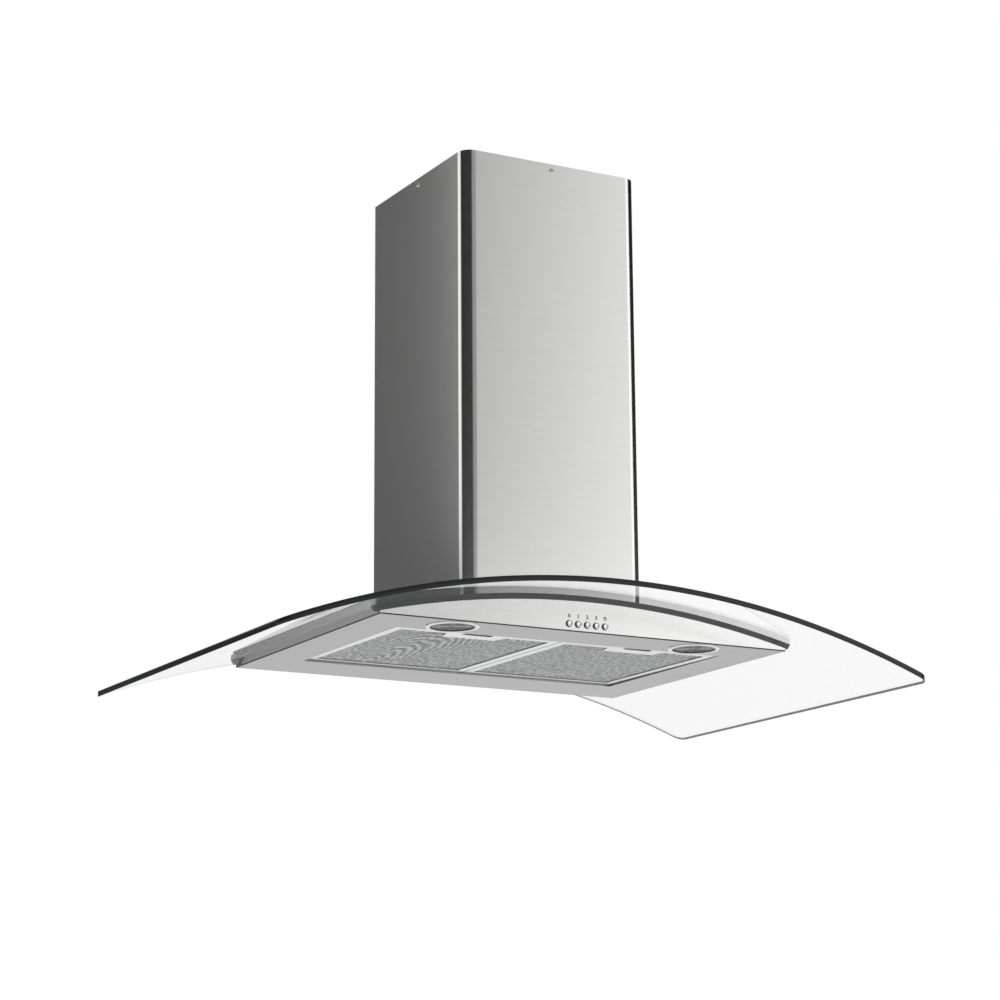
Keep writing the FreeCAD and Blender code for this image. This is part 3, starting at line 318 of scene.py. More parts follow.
def stretchedNoise(tree, scale, detail=2.0):
    place = addNode(tree, "ShaderNodeTexCoord").outputs["Object"]
    mapped = addNode(tree, "ShaderNodeMapping", {"Vector": place, "Scale": scale})
    noise = addNode(tree, "ShaderNodeTexNoise", {"Vector": mapped.outputs[0], "Scale": 1.0, "Detail": detail,
                                                 "Roughness": 0.5})
    return noise.outputs["Fac"]


def bumpFrom(tree, height, depth, strength=1.0):
    return addNode(tree, "ShaderNodeBump", {"Height": height, "Distance": depth, "Strength": strength}).outputs[0]


# Brushed steel: the grain runs level, along X on flat faces and round the part on upright ones

# The side and underside factors darken whole copies of this steel: painted shade for the side panels and the
# underside panel.
brushedSteel = {"dark": (0.59, 0.59, 0.585), "light": (0.64, 0.64, 0.633), "paintedShadeSides": 0.9, "paintedShadeBelow": 0.42,
                "roughness": 0.17, "roughnessSpread": 0.03, "anisotropy": 0.6, "grainFine": 2200.0,
                "grainLong": 14.0, "grainDepth": 0.000002, "smudge": 3.0, "flatFrom": 0.7}


def brushedSteelMaterial(name, shade=1.0):
    look = brushedSteel
    material, tree, shader = startMaterial(name)
    # A shade below 1 darkens the steel's whole colour: painted shade.
    dark, light = ([level * shade for level in look[key]] + [1] for key in ("dark", "light"))
    fine, long = look["grainFine"], look["grainLong"]
    normal = addNode(tree, "ShaderNodeTexCoord").outputs["Normal"]
    upward = doMath(tree, "ABSOLUTE", addNode(tree, "ShaderNodeSeparateXYZ", {0: normal}).outputs["Z"])
    isFlat = doMath(tree, "GREATER_THAN", upward, look["flatFrom"])
    uprightGrain = stretchedNoise(tree, (long, long, fine), 3.0)
    flatGrain = stretchedNoise(tree, (long, fine, long), 3.0)
    grain = blend(tree, isFlat, uprightGrain, flatGrain)
    smudge = stretchedNoise(tree, (look["smudge"],) * 3)
    smudged = doMath(tree, "MULTIPLY_ADD", smudge, look["roughnessSpread"], look["roughness"])
    centred = doMath(tree, "SUBTRACT", grain, 0.5)
    roughness = doMath(tree, "MULTIPLY_ADD", centred, look["roughnessSpread"] * 2, smudged)
    across = addNode(tree, "ShaderNodeMix", {0: isFlat, 4: (0, 0, 1), 5: (0, 1, 0)}, data_type="VECTOR")
    setSockets(tree, shader, {
        "Base Color": blendColours(tree, spread(tree, grain, 0.0, 1.0), dark, light),
        "Metallic": 1.0, "Roughness": roughness, "Anisotropic": look["anisotropy"],
        "Tangent": across.outputs[1], "Normal": bumpFrom(tree, grain, look["grainDepth"])})
    return material


# Every other finish: one fine grain moves the tone, the roughness and the bump together

def speckledMaterial(name, look):
    material, tree, shader = startMaterial(name)
    grain = stretchedNoise(tree, (look["grain"],) * 3, 4.0)
    setSockets(tree, shader, {
        "Base Color": blendColours(tree, spread(tree, grain, 0.0, 1.0), look["dark"], look["light"]),
        "Metallic": look.get("metallic", 0.0), "Roughness": spread(tree, grain, look["smooth"], look["rough"]),
        "Normal": bumpFrom(tree, grain, look["depth"])})
    return material


finishes = {
    "galvanised": {"dark": (0.42, 0.44, 0.45, 1), "light": (0.62, 0.64, 0.65, 1),
                   "metallic": 1.0, "smooth": 0.32, "rough": 0.5, "grain": 60.0, "depth": 0.00002},
    "fasteners": {"dark": (0.5, 0.5, 0.49, 1), "light": (0.68, 0.68, 0.66, 1),
                  "metallic": 1.0, "smooth": 0.2, "rough": 0.35, "grain": 800.0, "depth": 0.00001},
    "dark_rail": {"dark": (0.030, 0.034, 0.034, 1), "light": (0.042, 0.047, 0.046, 1),
                  "smooth": 0.3, "rough": 0.42, "grain": 500.0, "depth": 0.00001},
    "rubber": {"dark": (0.012, 0.012, 0.012, 1), "light": (0.025, 0.025, 0.025, 1),
               "smooth": 0.6, "rough": 0.8, "grain": 300.0, "depth": 0.00003},
    "black_plastic": {"dark": (0.012, 0.012, 0.013, 1), "light": (0.022, 0.022, 0.023, 1),
                      "smooth": 0.4, "rough": 0.5, "grain": 900.0, "depth": 0.00002},
    "grey_plastic": {"dark": (0.30, 0.30, 0.31, 1), "light": (0.36, 0.36, 0.37, 1),
                     "smooth": 0.42, "rough": 0.55, "grain": 900.0, "depth": 0.00002},
    "motor_paint": {"dark": (0.05, 0.055, 0.06, 1), "light": (0.075, 0.08, 0.085, 1),
                    "smooth": 0.35, "rough": 0.5, "grain": 700.0, "depth": 0.00003},
    "lamp_chrome": {"dark": (0.62, 0.62, 0.62, 1), "light": (0.74, 0.74, 0.74, 1),
                    "metallic": 1.0, "smooth": 0.05, "rough": 0.1, "grain": 120.0, "depth": 0.000004},
    "lamp_can": {"dark": (0.45, 0.46, 0.46, 1), "light": (0.6, 0.61, 0.61, 1),
                 "metallic": 1.0, "smooth": 0.3, "rough": 0.42, "grain": 150.0, "depth": 0.00001},
    "filter_aluminium": {"dark": (0.70, 0.71, 0.71, 1), "light": (0.82, 0.83, 0.83, 1),
                         "metallic": 1.0, "smooth": 0.25, "rough": 0.36, "grain": 250.0, "depth": 0.00001},
    "latch_metal": {"dark": (0.68, 0.68, 0.67, 1), "light": (0.80, 0.80, 0.79, 1),
                    "metallic": 1.0, "smooth": 0.24, "rough": 0.34, "grain": 300.0, "depth": 0.00001},
    "button_metal": {"dark": (0.60, 0.60, 0.60, 1), "light": (0.72, 0.72, 0.72, 1),
                     "metallic": 1.0, "smooth": 0.08, "rough": 0.16, "grain": 400.0, "depth": 0.000005},
}

# Finishes of pieces that only the scene has

sceneFinishes = {
    # Painted shade: the dark pad seen through the filter nets
    "netPaintedShadePad": {"dark": (0.015, 0.015, 0.015, 1), "light": (0.07, 0.07, 0.07, 1),
               "metallic": 1.0, "smooth": 0.45, "rough": 0.6, "grain": 900.0, "depth": 0.0003},
    # Painted reflection: the lamp reflector's dark and light flecks
    "reflectorPaintedDark": {"dark": (0.03, 0.03, 0.03, 1), "light": (0.75, 0.75, 0.75, 1),
                  "metallic": 1.0, "smooth": 0.06, "rough": 0.16, "grain": 150.0, "depth": 0.0009},
    "frosted": {"dark": (0.72, 0.73, 0.74, 1), "light": (0.86, 0.87, 0.88, 1),
                "smooth": 0.25, "rough": 0.4, "grain": 900.0, "depth": 0.00001},
    "ceramic": {"dark": (0.62, 0.60, 0.56, 1), "light": (0.74, 0.72, 0.68, 1),
                "smooth": 0.5, "rough": 0.65, "grain": 1200.0, "depth": 0.00002},
    # Painted light: the lighter grey for the rear rail's lit faces
    "railPaintedLight": {"dark": (0.17, 0.175, 0.175, 1), "light": (0.22, 0.225, 0.225, 1),
                "smooth": 0.4, "rough": 0.55, "grain": 500.0, "depth": 0.00001},
    # Painted shadow for the gap along the lower edges
    "paintedGapShadow": {"dark": (0.012, 0.012, 0.012, 1), "light": (0.03, 0.03, 0.03, 1),
             "smooth": 0.6, "rough": 0.8, "grain": 700.0, "depth": 0.00001},
    "ink": {"dark": (0.02, 0.02, 0.022, 1), "light": (0.04, 0.04, 0.042, 1),
            "smooth": 0.45, "rough": 0.6, "grain": 1500.0, "depth": 0.000003},
}


# Clear glass with dark polished edges

clearGlass = {"tint": (0.995, 1.0, 0.998, 1), "smudged": (0.995, 1.0, 0.997, 1), "rough": 0.02, "smudge": 7.0,
              "ior": 1.5, "edge": (0.012, 0.018, 0.017, 1), "edgeGlow": (0.004, 0.008, 0.007, 1),
              "edgeDrift": (20.0, 20.0, 300.0), "edgeSmooth": 0.08, "edgeRough": 0.16, "edgeShine": 0.25}


def clearGlassMaterial():
    material, tree, shader = startMaterial("clearGlass")
    smudge = stretchedNoise(tree, (clearGlass["smudge"],) * 3, 3.0)
    setSockets(tree, shader, {
        "Base Color": blendColours(tree, smudge, clearGlass["tint"], clearGlass["smudged"]),
        "Roughness": spread(tree, smudge, 0.0, clearGlass["rough"]), "IOR": clearGlass["ior"],
        "Transmission Weight": 1.0})
    return material


def glassEdgeMaterial():
    material, tree, shader = startMaterial("glassEdge")
    drift = stretchedNoise(tree, clearGlass["edgeDrift"])
    setSockets(tree, shader, {
        "Base Color": blendColours(tree, drift, clearGlass["edgeGlow"], clearGlass["edge"]),
        "Roughness": spread(tree, drift, clearGlass["edgeSmooth"], clearGlass["edgeRough"]),
        "Specular IOR Level": clearGlass["edgeShine"]})
    return material


# Net wire: a painted sheen of long oval waves of light and dark round one place, broken up by a fine grain

netPaintedSheen = {"dark": (0.2, 0.205, 0.21, 1), "light": (0.74, 0.745, 0.75, 1), "smooth": 0.3, "rough": 0.42,
              "centreX": -0.15, "centreY": 0.1, "acrossX": 0.0056, "acrossY": 0.024, "waves": 0.3,
              "drift": (25.0, 9.0, 25.0), "drifting": 3.0, "grain": (330.0, 99.0, 330.0), "grains": 1.1}


def netWireMaterial():
    look = netPaintedSheen
    material, tree, shader = startMaterial("netWire")
    x, y, _ = objectPlace(tree)
    alongX = doMath(tree, "DIVIDE", doMath(tree, "SUBTRACT", x, look["centreX"]), look["acrossX"])
    alongY = doMath(tree, "DIVIDE", doMath(tree, "SUBTRACT", y, look["centreY"]), look["acrossY"])
    drift = stretchedNoise(tree, look["drift"])
    turns = doMath(tree, "MULTIPLY_ADD", drift, look["drifting"], reachOf(tree, alongX, alongY))
    # The oval waves are a painted sheen in the wire's colour
    wave = doMath(tree, "SINE", doMath(tree, "MULTIPLY", turns, 2 * math.pi))
    grain = stretchedNoise(tree, look["grain"])
    shade = doMath(tree, "MULTIPLY_ADD", doMath(tree, "SUBTRACT", grain, 0.5), look["grains"] * 2,
                   doMath(tree, "MULTIPLY_ADD", wave, look["waves"], 0.5))
    kept = addNode(tree, "ShaderNodeClamp", {0: shade}).outputs[0]
    setSockets(tree, shader, {"Base Color": blendColours(tree, kept, look["dark"], look["light"]), "Metallic": 1.0,
                              "Roughness": spread(tree, grain, look["smooth"], look["rough"])})
    return material


# Lamp glass: round ribs about the lamp's middle, alike on both sides

lensRibs = {"pitch": 0.0024, "depth": 0.0005, "strength": 0.6, "tint": (0.93, 0.95, 0.945, 1),
            "smudged": (0.97, 0.98, 0.975, 1), "smudge": 30.0, "rough": 0.05, "ior": 1.5}


def ribbedGlassMaterial():
    material, tree, shader = startMaterial("lampGlass")
    x, y, _ = objectPlace(tree)
    middleX, middleY, _ = middleOf("lamp_lens_right")
    reach = reachOf(tree, doMath(tree, "SUBTRACT", doMath(tree, "ABSOLUTE", x), middleX),
                    doMath(tree, "SUBTRACT", y, middleY))
    ribs = doMath(tree, "SINE", doMath(tree, "MULTIPLY", reach, 2 * math.pi / lensRibs["pitch"]))
    smudge = stretchedNoise(tree, (lensRibs["smudge"],) * 3, 3.0)
    setSockets(tree, shader, {
        "Base Color": blendColours(tree, smudge, lensRibs["tint"], lensRibs["smudged"]),
        "Roughness": spread(tree, smudge, 0.0, lensRibs["rough"]), "IOR": lensRibs["ior"],
        "Transmission Weight": 1.0, "Normal": bumpFrom(tree, ribs, lensRibs["depth"], lensRibs["strength"])})
    return material


def mixMaterials():
    made = {slot: speckledMaterial(slot + "Finish", look) for slot, look in finishes.items()}
    made["stainless"] = brushedSteelMaterial("brushedSteel")
    # Darker copies of the same steel: painted shade for the side panels and the underside panel.
    made["sides"] = brushedSteelMaterial("brushedSteelPaintedShadeSides", brushedSteel["paintedShadeSides"])
    made["underside"] = brushedSteelMaterial("brushedSteelPaintedShadeBelow", brushedSteel["paintedShadeBelow"])
    made["clear_glass"] = clearGlassMaterial()
    made["glassEdge"] = glassEdgeMaterial()
    made["netWire"] = netWireMaterial()
    made["lamp_glass"] = ribbedGlassMaterial()
    made.update({name: speckledMaterial(name, look) for name, look in sceneFinishes.items()})
    return made


def coatNodes():
    for name, piece in nodes.items():
        piece.data.materials[0] = materials[slots[name]]


# Bent glass: the CAD sheet cut into narrow strips, brought to its true radii, edges eased

bentGlass = {"underRadius": 1.227, "axisLevel": -1.8145, "thickness": 0.007, "strip": 0.012, "stripShift": 0.0004,
             "flatWithin": 0.2, "arris": 0.0008, "arrisSteps": 2, "rimBelow": 0.9, "clearAbove": 0.985,
             "wingFrom": 0.295, "wingEase": 0.125, "wingFlatter": 4.6}


def outwardShare(face):
    middle = face.calc_center_median()
    outward = Vector((middle.x, 0, middle.z - bentGlass["axisLevel"])).normalized()
    return abs(face.normal.dot(outward))


def makeGlass():
    shape = mergedCopy("glass_canopy", bentGlass["flatWithin"])
    low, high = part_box("glass_canopy")
    step = bentGlass["strip"]
    for i in range(int(low.x / step), int(high.x / step) + 1):
        cutPlane(shape, (i * step + bentGlass["stripShift"], 0, 0), (1, 0, 0), 1e-6)
    under, axis = bentGlass["underRadius"], bentGlass["axisLevel"]
    over = under + bentGlass["thickness"]
    for vert in shape.verts:
        reach = math.hypot(vert.co.x, vert.co.z - axis)
        true = under if abs(reach - under) < abs(reach - over) else over
        vert.co.x *= true / reach
        vert.co.z = axis + (vert.co.z - axis) * true / reach
    shape.normal_update()
    rims = {face for face in shape.faces if outwardShare(face) < bentGlass["rimBelow"]}
    sharp = [edge for edge in shape.edges if sum(face in rims for face in edge.link_faces) == 1]
    bmesh.ops.bevel(shape, geom=sharp, offset=bentGlass["arris"], segments=bentGlass["arrisSteps"],
                    affect="EDGES", profile=0.5)
    shape.normal_update()
    for face in shape.faces:
        face.material_index = 0 if outwardShare(face) > bentGlass["clearAbove"] else 1
        face.smooth = True
    for edge in shape.edges:
        edge.smooth = len({face.material_index for face in edge.link_faces}) == 1
    mesh = meshFrom("bentGlass", shape)
    flattenWings(mesh)
    piece = newPiece("bentGlass", mesh)
    mesh.materials.append(materials["clear_glass"])
    mesh.materials.append(materials["glassEdge"])
    piece.visible_shadow = False
    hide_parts("glass_canopy")
    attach(piece, bodyOf("glass_canopy"))


# Shading normals that lean flatter toward the wing tips; the shape itself stays

def flattenWings(mesh):
    normals = [(0.0, 0.0, 0.0)] * len(mesh.loops)
    for face in mesh.polygons:
        if face.material_index == 1:
            continue
        for loopIndex in face.loop_indices:
            place = mesh.vertices[mesh.loops[loopIndex].vertex_index].co
            angle = math.atan2(place.x, place.z - bentGlass["axisLevel"])
            reach = min(1.0, max(0.0, (abs(place.x) - bentGlass["wingFrom"]) / bentGlass["wingEase"]))
            angle -= math.copysign(math.radians(bentGlass["wingFlatter"]) * reach, angle)
            radial = Vector((math.sin(angle), 0.0, math.cos(angle)))
            normals[loopIndex] = radial if face.normal.z > 0 else -radial
    mesh.normals_split_custom_set(normals)


# Folded sheet pieces: the CAD solids with eased edges

easedEdges = {"front_fascia": 0.00045, "rear_fascia": 0.00045, "side_panel_left": 0.00045,
              "side_panel_right": 0.00045, "underside_panel": 0.00045, "filter_frame_left": 0.0003,
              "filter_frame_right": 0.0003, "filter_latch_left": 0.0003, "filter_latch_right": 0.0003,
              "front_glass_rail": 0.0005, "rear_glass_rail": 0.0005}
easing = {"flatWithin": 0.5, "smoothBelow": 30, "bevelAbove": 35, "segments": 2, "gapShadowHeight": 0.0014,
          "railEndFacing": 0.5}
# The side and underside panels take the painted-shade copies of the steel.
paintedShadeSteel = {"underside_panel": "underside", "side_panel_left": "sides", "side_panel_right": "sides"}

# The filters hang a little lower at the front; the plate there reaches further back and tapers

filterHang = {"droop": 0.0018, "plateEdge": 0.026, "plateGrow": 0.0065, "plateTaper": 0.88, "plateHalf": 0.0415,
              "plateLevel": 0.0016, "plateSlack": 0.001}


def hangDown(vertices, low, high):
    for vert in vertices:
        vert.co.z -= filterHang["droop"] * (high.y - vert.co.y) / (high.y - low.y)


def shapePlate(vertices, low, high):
    middle, edge = (low.x + high.x) / 2, filterHang["plateEdge"]
    for vert in vertices:
        isLow = vert.co.z < low.z + filterHang["plateLevel"]
        isWithin = abs(vert.co.x - middle) < filterHang["plateHalf"]
        if isLow and isWithin and abs(vert.co.y - low.y - edge) < filterHang["plateSlack"]:
            vert.co.x = middle + (vert.co.x - middle) * filterHang["plateTaper"]
            vert.co.y += filterHang["plateGrow"]


def easeEdges():
    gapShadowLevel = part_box("underside_panel")[0].z + easing["gapShadowHeight"]
    for nodeName, width in easedEdges.items():
        shape = mergedCopy(nodeName, easing["flatWithin"])
        if nodeName.startswith("filter_frame"):
            low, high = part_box(nodeName)
            shapePlate(shape.verts, low, high)
            hangDown(shape.verts, low, high)
        mesh = meshFrom(nodeName + "Eased", shape)
        smoothByAngle(mesh, easing["smoothBelow"])
        piece = newPiece(nodeName + "Eased", mesh)
        mesh.materials.append(materials[paintedShadeSteel.get(nodeName, slots[nodeName])])
        bevel = piece.modifiers.new("ease", "BEVEL")
        bevel.width = width
        bevel.segments = easing["segments"]
        bevel.limit_method = "ANGLE"
        bevel.angle_limit = math.radians(easing["bevelAbove"])
        bevel.harden_normals = True
        bakeModifiers(piece)
        # The fascias and side panels get the painted shadow along their lower edge
        if nodeName.endswith("fascia") or nodeName.startswith("side_panel"):
            paintGapShadow(piece.data, gapShadowLevel)
        if nodeName == "rear_glass_rail":
            markRailEnds(piece.data)
        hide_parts(nodeName)
        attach(piece, bodyOf(nodeName))


# Painted shadow: the lower edge is painted dark as the shadow in the gap below it

def paintGapShadow(mesh, level):
    shape = bmesh.new()
    shape.from_mesh(mesh)
    cutPlane(shape, (0, 0, level), (0, 0, 1))
    for face in shape.faces:
        if face.calc_center_median().z < level:
            face.material_index = 1
    shape.to_mesh(mesh)
    shape.free()
    mesh.materials.append(materials["paintedGapShadow"])


# The rear rail's front and ends are painted a lighter grey: painted light where they catch it

def markRailEnds(mesh):
    mesh.materials.append(materials["railPaintedLight"])
    facing = easing["railEndFacing"]
    for face in mesh.polygons:
        if face.normal.y < -facing or abs(face.normal.x) > facing:
            face.material_index = 1


def bakeModifiers(piece):
    bpy.context.view_layer.update()
    evaluated = piece.evaluated_get(bpy.context.evaluated_depsgraph_get())
    mesh = bpy.data.meshes.new_from_object(evaluated)
    piece.modifiers.clear()
    piece.data = mesh


# Geometry Nodes: one tree per repeated shape, its sizes as named inputs

def newTree(name, sizes):
    tree = bpy.data.node_groups.new(name, "GeometryNodeTree")
    tree.interface.new_socket("Geometry", in_out="OUTPUT", socket_type="NodeSocketGeometry")
    for label, value in sizes.items():
        kind = "NodeSocketInt" if isinstance(value, int) else "NodeSocketFloat"
        socket = tree.interface.new_socket(label, in_out="INPUT", socket_type=kind)
        socket.default_value = value
    return tree, addNode(tree, "NodeGroupInput"), addNode(tree, "NodeGroupOutput")


def growTree(name, tree, sizes):
    piece = newPiece(name, bpy.data.meshes.new(name))
    modifier = piece.modifiers.new("grow", "NODES")
    modifier.node_group = tree
    for socket in tree.interface.items_tree:
        if socket.in_out == "INPUT" and socket.name in sizes:
            modifier[socket.identifier] = sizes[socket.name]
    bakeModifiers(piece)
    return piece


def vectorNode(tree, x=0.0, y=0.0, z=0.0):
    return addNode(tree, "ShaderNodeCombineXYZ", {0: x, 1: y, 2: z}).outputs[0]


def moved(tree, geometry, x=0.0, y=0.0, z=0.0, turn=0.0):
    return addNode(tree, "GeometryNodeTransform", {
        "Geometry": geometry, "Translation": vectorNode(tree, x, y, z),
        "Rotation": vectorNode(tree, 0.0, 0.0, turn)}).outputs[0]


def paintOut(tree, geometry, material, out):
    painted = addNode(tree, "GeometryNodeSetMaterial", {0: geometry, "Material": material})
    tree.links.new(painted.outputs[0], out.inputs[0])


# Grease filter net: zigzag strands side by side, as in stretched metal, over a coarser net and a pad painted dark as
# the shade inside the filter

filterNet = {"openingLength": 0.0044, "openingWidth": 0.0028, "wire": 0.00029, "backScale": 1.12, "backTurn": 5.0,
             "tuck": 0.0055, "keepOut": 0.002, "patchGap": 0.0004, "frontRise": 0.0007, "backRise": 0.0018,
             "padRise": 0.0036, "padThickness": 0.0012}


def netTree(material):
    tree, given, out = newTree("netTree", {"Width": 0.1, "Depth": 0.1, "Opening Length": 0.004,
                                           "Opening Width": 0.0025, "Wire": 0.0003, "Turn": 0.0, "Spare": 0.0})
    width, depth, length, opening, wire, turn, spare = given.outputs[:7]
    half = doMath(tree, "MULTIPLY", length, 0.5)
    spacing = doMath(tree, "MULTIPLY", opening, 0.5)

    def countOf(size, pitch):
        fits = doMath(tree, "DIVIDE", doMath(tree, "MULTIPLY_ADD", spare, 2.0, size), pitch)
        return doMath(tree, "FLOOR", fits)

    index = addNode(tree, "GeometryNodeInputIndex").outputs[0]
    odd = doMath(tree, "MODULO", index, 2.0)
    side = doMath(tree, "MULTIPLY_ADD", odd, 2.0, -1.0)
    swing = doMath(tree, "MULTIPLY", doMath(tree, "MULTIPLY", opening, 0.25), side)
    lift = doMath(tree, "MULTIPLY", wire, doMath(tree, "MULTIPLY", side, 0.5))
    line = addNode(tree, "GeometryNodeMeshLine", {"Count": doMath(tree, "ADD", countOf(width, half), 1.0),
                                                  "Offset": vectorNode(tree, half)})
    zigzag = addNode(tree, "GeometryNodeSetPosition", {"Geometry": line.outputs[0],
                                                       "Offset": vectorNode(tree, 0.0, swing, lift)})
    strand = addNode(tree, "GeometryNodeMeshToCurve", {0: zigzag.outputs[0]})
    rows = addNode(tree, "GeometryNodeMeshLine", {"Count": countOf(depth, spacing),
                                                  "Offset": vectorNode(tree, 0.0, spacing)})
    flip = doMath(tree, "MULTIPLY_ADD", odd, -2.0, 1.0)
    strands = addNode(tree, "GeometryNodeInstanceOnPoints", {"Points": rows.outputs[0], "Instance": strand.outputs[0],
                                                             "Scale": vectorNode(tree, 1.0, flip, flip)})
    solid = addNode(tree, "GeometryNodeRealizeInstances", {0: strands.outputs[0]})
    back = doMath(tree, "MULTIPLY", spare, -1.0)
    turnedNet = moved(tree, solid.outputs[0], back, back, turn=turn)

    position = addNode(tree, "GeometryNodeInputPosition").outputs[0]
    x, y, _ = addNode(tree, "ShaderNodeSeparateXYZ", {0: position}).outputs
    outside = doMath(tree, "LESS_THAN", x, 0.0)
    for beyond in (doMath(tree, "LESS_THAN", y, 0.0), doMath(tree, "GREATER_THAN", x, width),
                   doMath(tree, "GREATER_THAN", y, depth)):
        outside = doMath(tree, "MAXIMUM", outside, beyond)
    trimmed = addNode(tree, "GeometryNodeDeleteGeometry", {"Geometry": turnedNet, "Selection": outside},
                      domain="POINT")
    profile = addNode(tree, "GeometryNodeCurvePrimitiveCircle", {"Resolution": 3, "Radius": wire})
    wires = addNode(tree, "GeometryNodeCurveToMesh", {"Curve": trimmed.outputs[0],
                                                      "Profile Curve": profile.outputs[0]})
    paintOut(tree, wires.outputs[0], material, out)
    return tree


def joinInto(shape, piece, matrix):
    mesh = piece.data
    mesh.transform(matrix)
    shape.from_mesh(mesh)
    bpy.data.objects.remove(piece)
    bpy.data.meshes.remove(mesh)


# The net stays clear of the plate and the catch: one patch behind them and one on either side

def netPatches(side):
    low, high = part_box("filter_mesh_" + side)
    latchLow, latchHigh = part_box("filter_latch_" + side)
    tuck, keepOut = filterNet["tuck"], filterNet["keepOut"]
    x0, x1, y0, y1 = low.x + tuck, high.x - tuck, low.y + tuck, high.y - tuck
    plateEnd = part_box("filter_frame_" + side)[0].y + filterHang["plateEdge"] + filterHang["plateGrow"]
    behind = plateEnd + keepOut
    beside = behind - filterNet["patchGap"]
    return [(x0, x1, behind, y1), (x0, latchLow.x - keepOut, y0, beside), (latchHigh.x + keepOut, x1, y0, beside)]


def fillPatch(tree, fine, coarse, patch, level):
    left, right, front, back = patch
    length, width, scale = filterNet["openingLength"], filterNet["openingWidth"], filterNet["backScale"]
    sizes = {"Width": right - left, "Depth": back - front, "Opening Length": length, "Opening Width": width,
             "Wire": filterNet["wire"], "Turn": 0.0, "Spare": 0.0}
    place = Matrix.Translation((left, front, level + filterNet["frontRise"]))
    joinInto(fine, growTree("net", tree, sizes), place)
    angle = math.radians(filterNet["backTurn"])
    sizes.update({"Opening Length": length * scale, "Opening Width": width * scale, "Turn": angle,
                  "Spare": math.sin(angle) * max(right - left, back - front)})
    place = Matrix.Translation((left, front, level + filterNet["backRise"]))
    joinInto(coarse, growTree("net", tree, sizes), place)
    padPatch(coarse, patch, level + filterNet["padRise"])


# The pad is netting colour on top and dark elsewhere: its dark faces are painted shade for the depth of the filter
# behind the net

def padPatch(shape, patch, level):
    left, right, front, back = patch
    corners = [shape.verts.new((x, y, z)) for z in (level, level + filterNet["padThickness"])
               for x, y in ((left, front), (right, front), (right, back), (left, back))]
    rings = [(3, 2, 1, 0), (4, 5, 6, 7), (0, 1, 5, 4), (1, 2, 6, 5), (2, 3, 7, 6), (3, 0, 4, 7)]
    for ring in rings:
        shape.faces.new([corners[i] for i in ring]).material_index = 0 if ring[0] == 4 else 1


def makeFilterNets():
    tree = netTree(materials["netWire"])
    for side in ("left", "right"):
        fine, coarse = bmesh.new(), bmesh.new()
        for patch in netPatches(side):
            fillPatch(tree, fine, coarse, patch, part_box("filter_mesh_" + side)[0].z)
        for name, shape, replaced in (("filterNet_", fine, True), ("filterNetBehind_", coarse, False)):
            hangDown(shape.verts, *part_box("filter_frame_" + side))
            mesh = meshFrom(name + side, shape)
            mesh.materials.append(materials["netWire"])
            mesh.materials.append(materials["netPaintedShadePad"])
            piece = newPiece(name + side, mesh)
            if replaced:
                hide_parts("filter_mesh_" + side)
            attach(piece, bodyOf("filter_mesh_" + side))
            print(name + side, len(mesh.polygons), "faces")


# Turned pieces: an outline of (radius, height) pairs spun about its own axis

def turned(shape, outline, centre, toward, sides, materialIndex=0, closed=False):
    axis = Vector(toward).normalized()
    out = axis.orthogonal().normalized()
    turn = Matrix((out, axis.cross(out), axis)).transposed()
    angles = [2 * math.pi * i / sides for i in range(sides)]
    rings = []
    for radius, height in outline:
        corners = [Vector((radius * math.cos(angle), radius * math.sin(angle), height))
                   for angle in (angles if radius else angles[:1])]
        rings.append([shape.verts.new(Vector(centre) + turn @ corner) for corner in corners])
    pairs = list(zip(rings, rings[1:]))
    if closed:
        pairs.append((rings[-1], rings[0]))
    made = []
    for first, second in pairs:
        for i in range(sides):
            j = (i + 1) % sides
            corners = [first[i % len(first)], first[j % len(first)], second[j % len(second)], second[i % len(second)]]
            unique = list(dict.fromkeys(corners))
            if len(unique) > 2:
                face = shape.faces.new(unique)
                face.material_index = materialIndex
                made.append(face)
    return made


def finishTurned(name, shape, looks, body, replaced=(), sharpAbove=32):
    bmesh.ops.recalc_face_normals(shape, faces=shape.faces)
    mesh = meshFrom(name, shape)
    smoothByAngle(mesh, sharpAbove)
    for look in looks:
        mesh.materials.append(materials[look])
    piece = newPiece(name, mesh)
    if replaced:
        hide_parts(*replaced)
    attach(piece, body)


# Lamp ring: chrome outside; the inner lip takes the black plastic finish as painted shade, the dark line round the
# lens; chrome gives the first and last point of the bright face

ringProfile = [(0.0263, 0.0024), (0.0263, -0.0002), (0.0268, -0.0009), (0.0276, -0.0012), (0.0284, -0.001),
               (0.0288, -0.0006), (0.0294, -0.0007), (0.0302, -0.0012), (0.0311, -0.0016), (0.0320, -0.0015),
               (0.0327, -0.001), (0.0330, -0.0004), (0.0330, 0.0), (0.0279, 0.0), (0.0279, 0.0024)]
lampRing = {"sides": 64, "chrome": (3, 12), "sharpAbove": 25}


def makeLampRing(side):
    nodeName = "lamp_ring_" + side
    middleX, middleY, _ = middleOf(nodeName)
    seat = (middleX, middleY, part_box("underside_panel")[0].z)
    first, last = lampRing["chrome"]
    ring = bmesh.new()
    turned(ring, ringProfile[first:last + 1], seat, (0, 0, 1), lampRing["sides"], 0)
    # Painted shade: the inner lip is dark
    turned(ring, ringProfile[last:] + ringProfile[:first + 1], seat, (0, 0, 1), lampRing["sides"], 1)
    weld(ring)
    finishTurned("lampRing_" + side, ring, ["lamp_chrome", "black_plastic"], bodyOf(nodeName),
                 [nodeName], lampRing["sharpAbove"])


# Lamp can: hollow, with a fluted reflector whose colour is a painted reflection of the dark hood, dark and light
# flecks. Lamp bulb: a capsule on its base, outlines as (share of radius, drop)

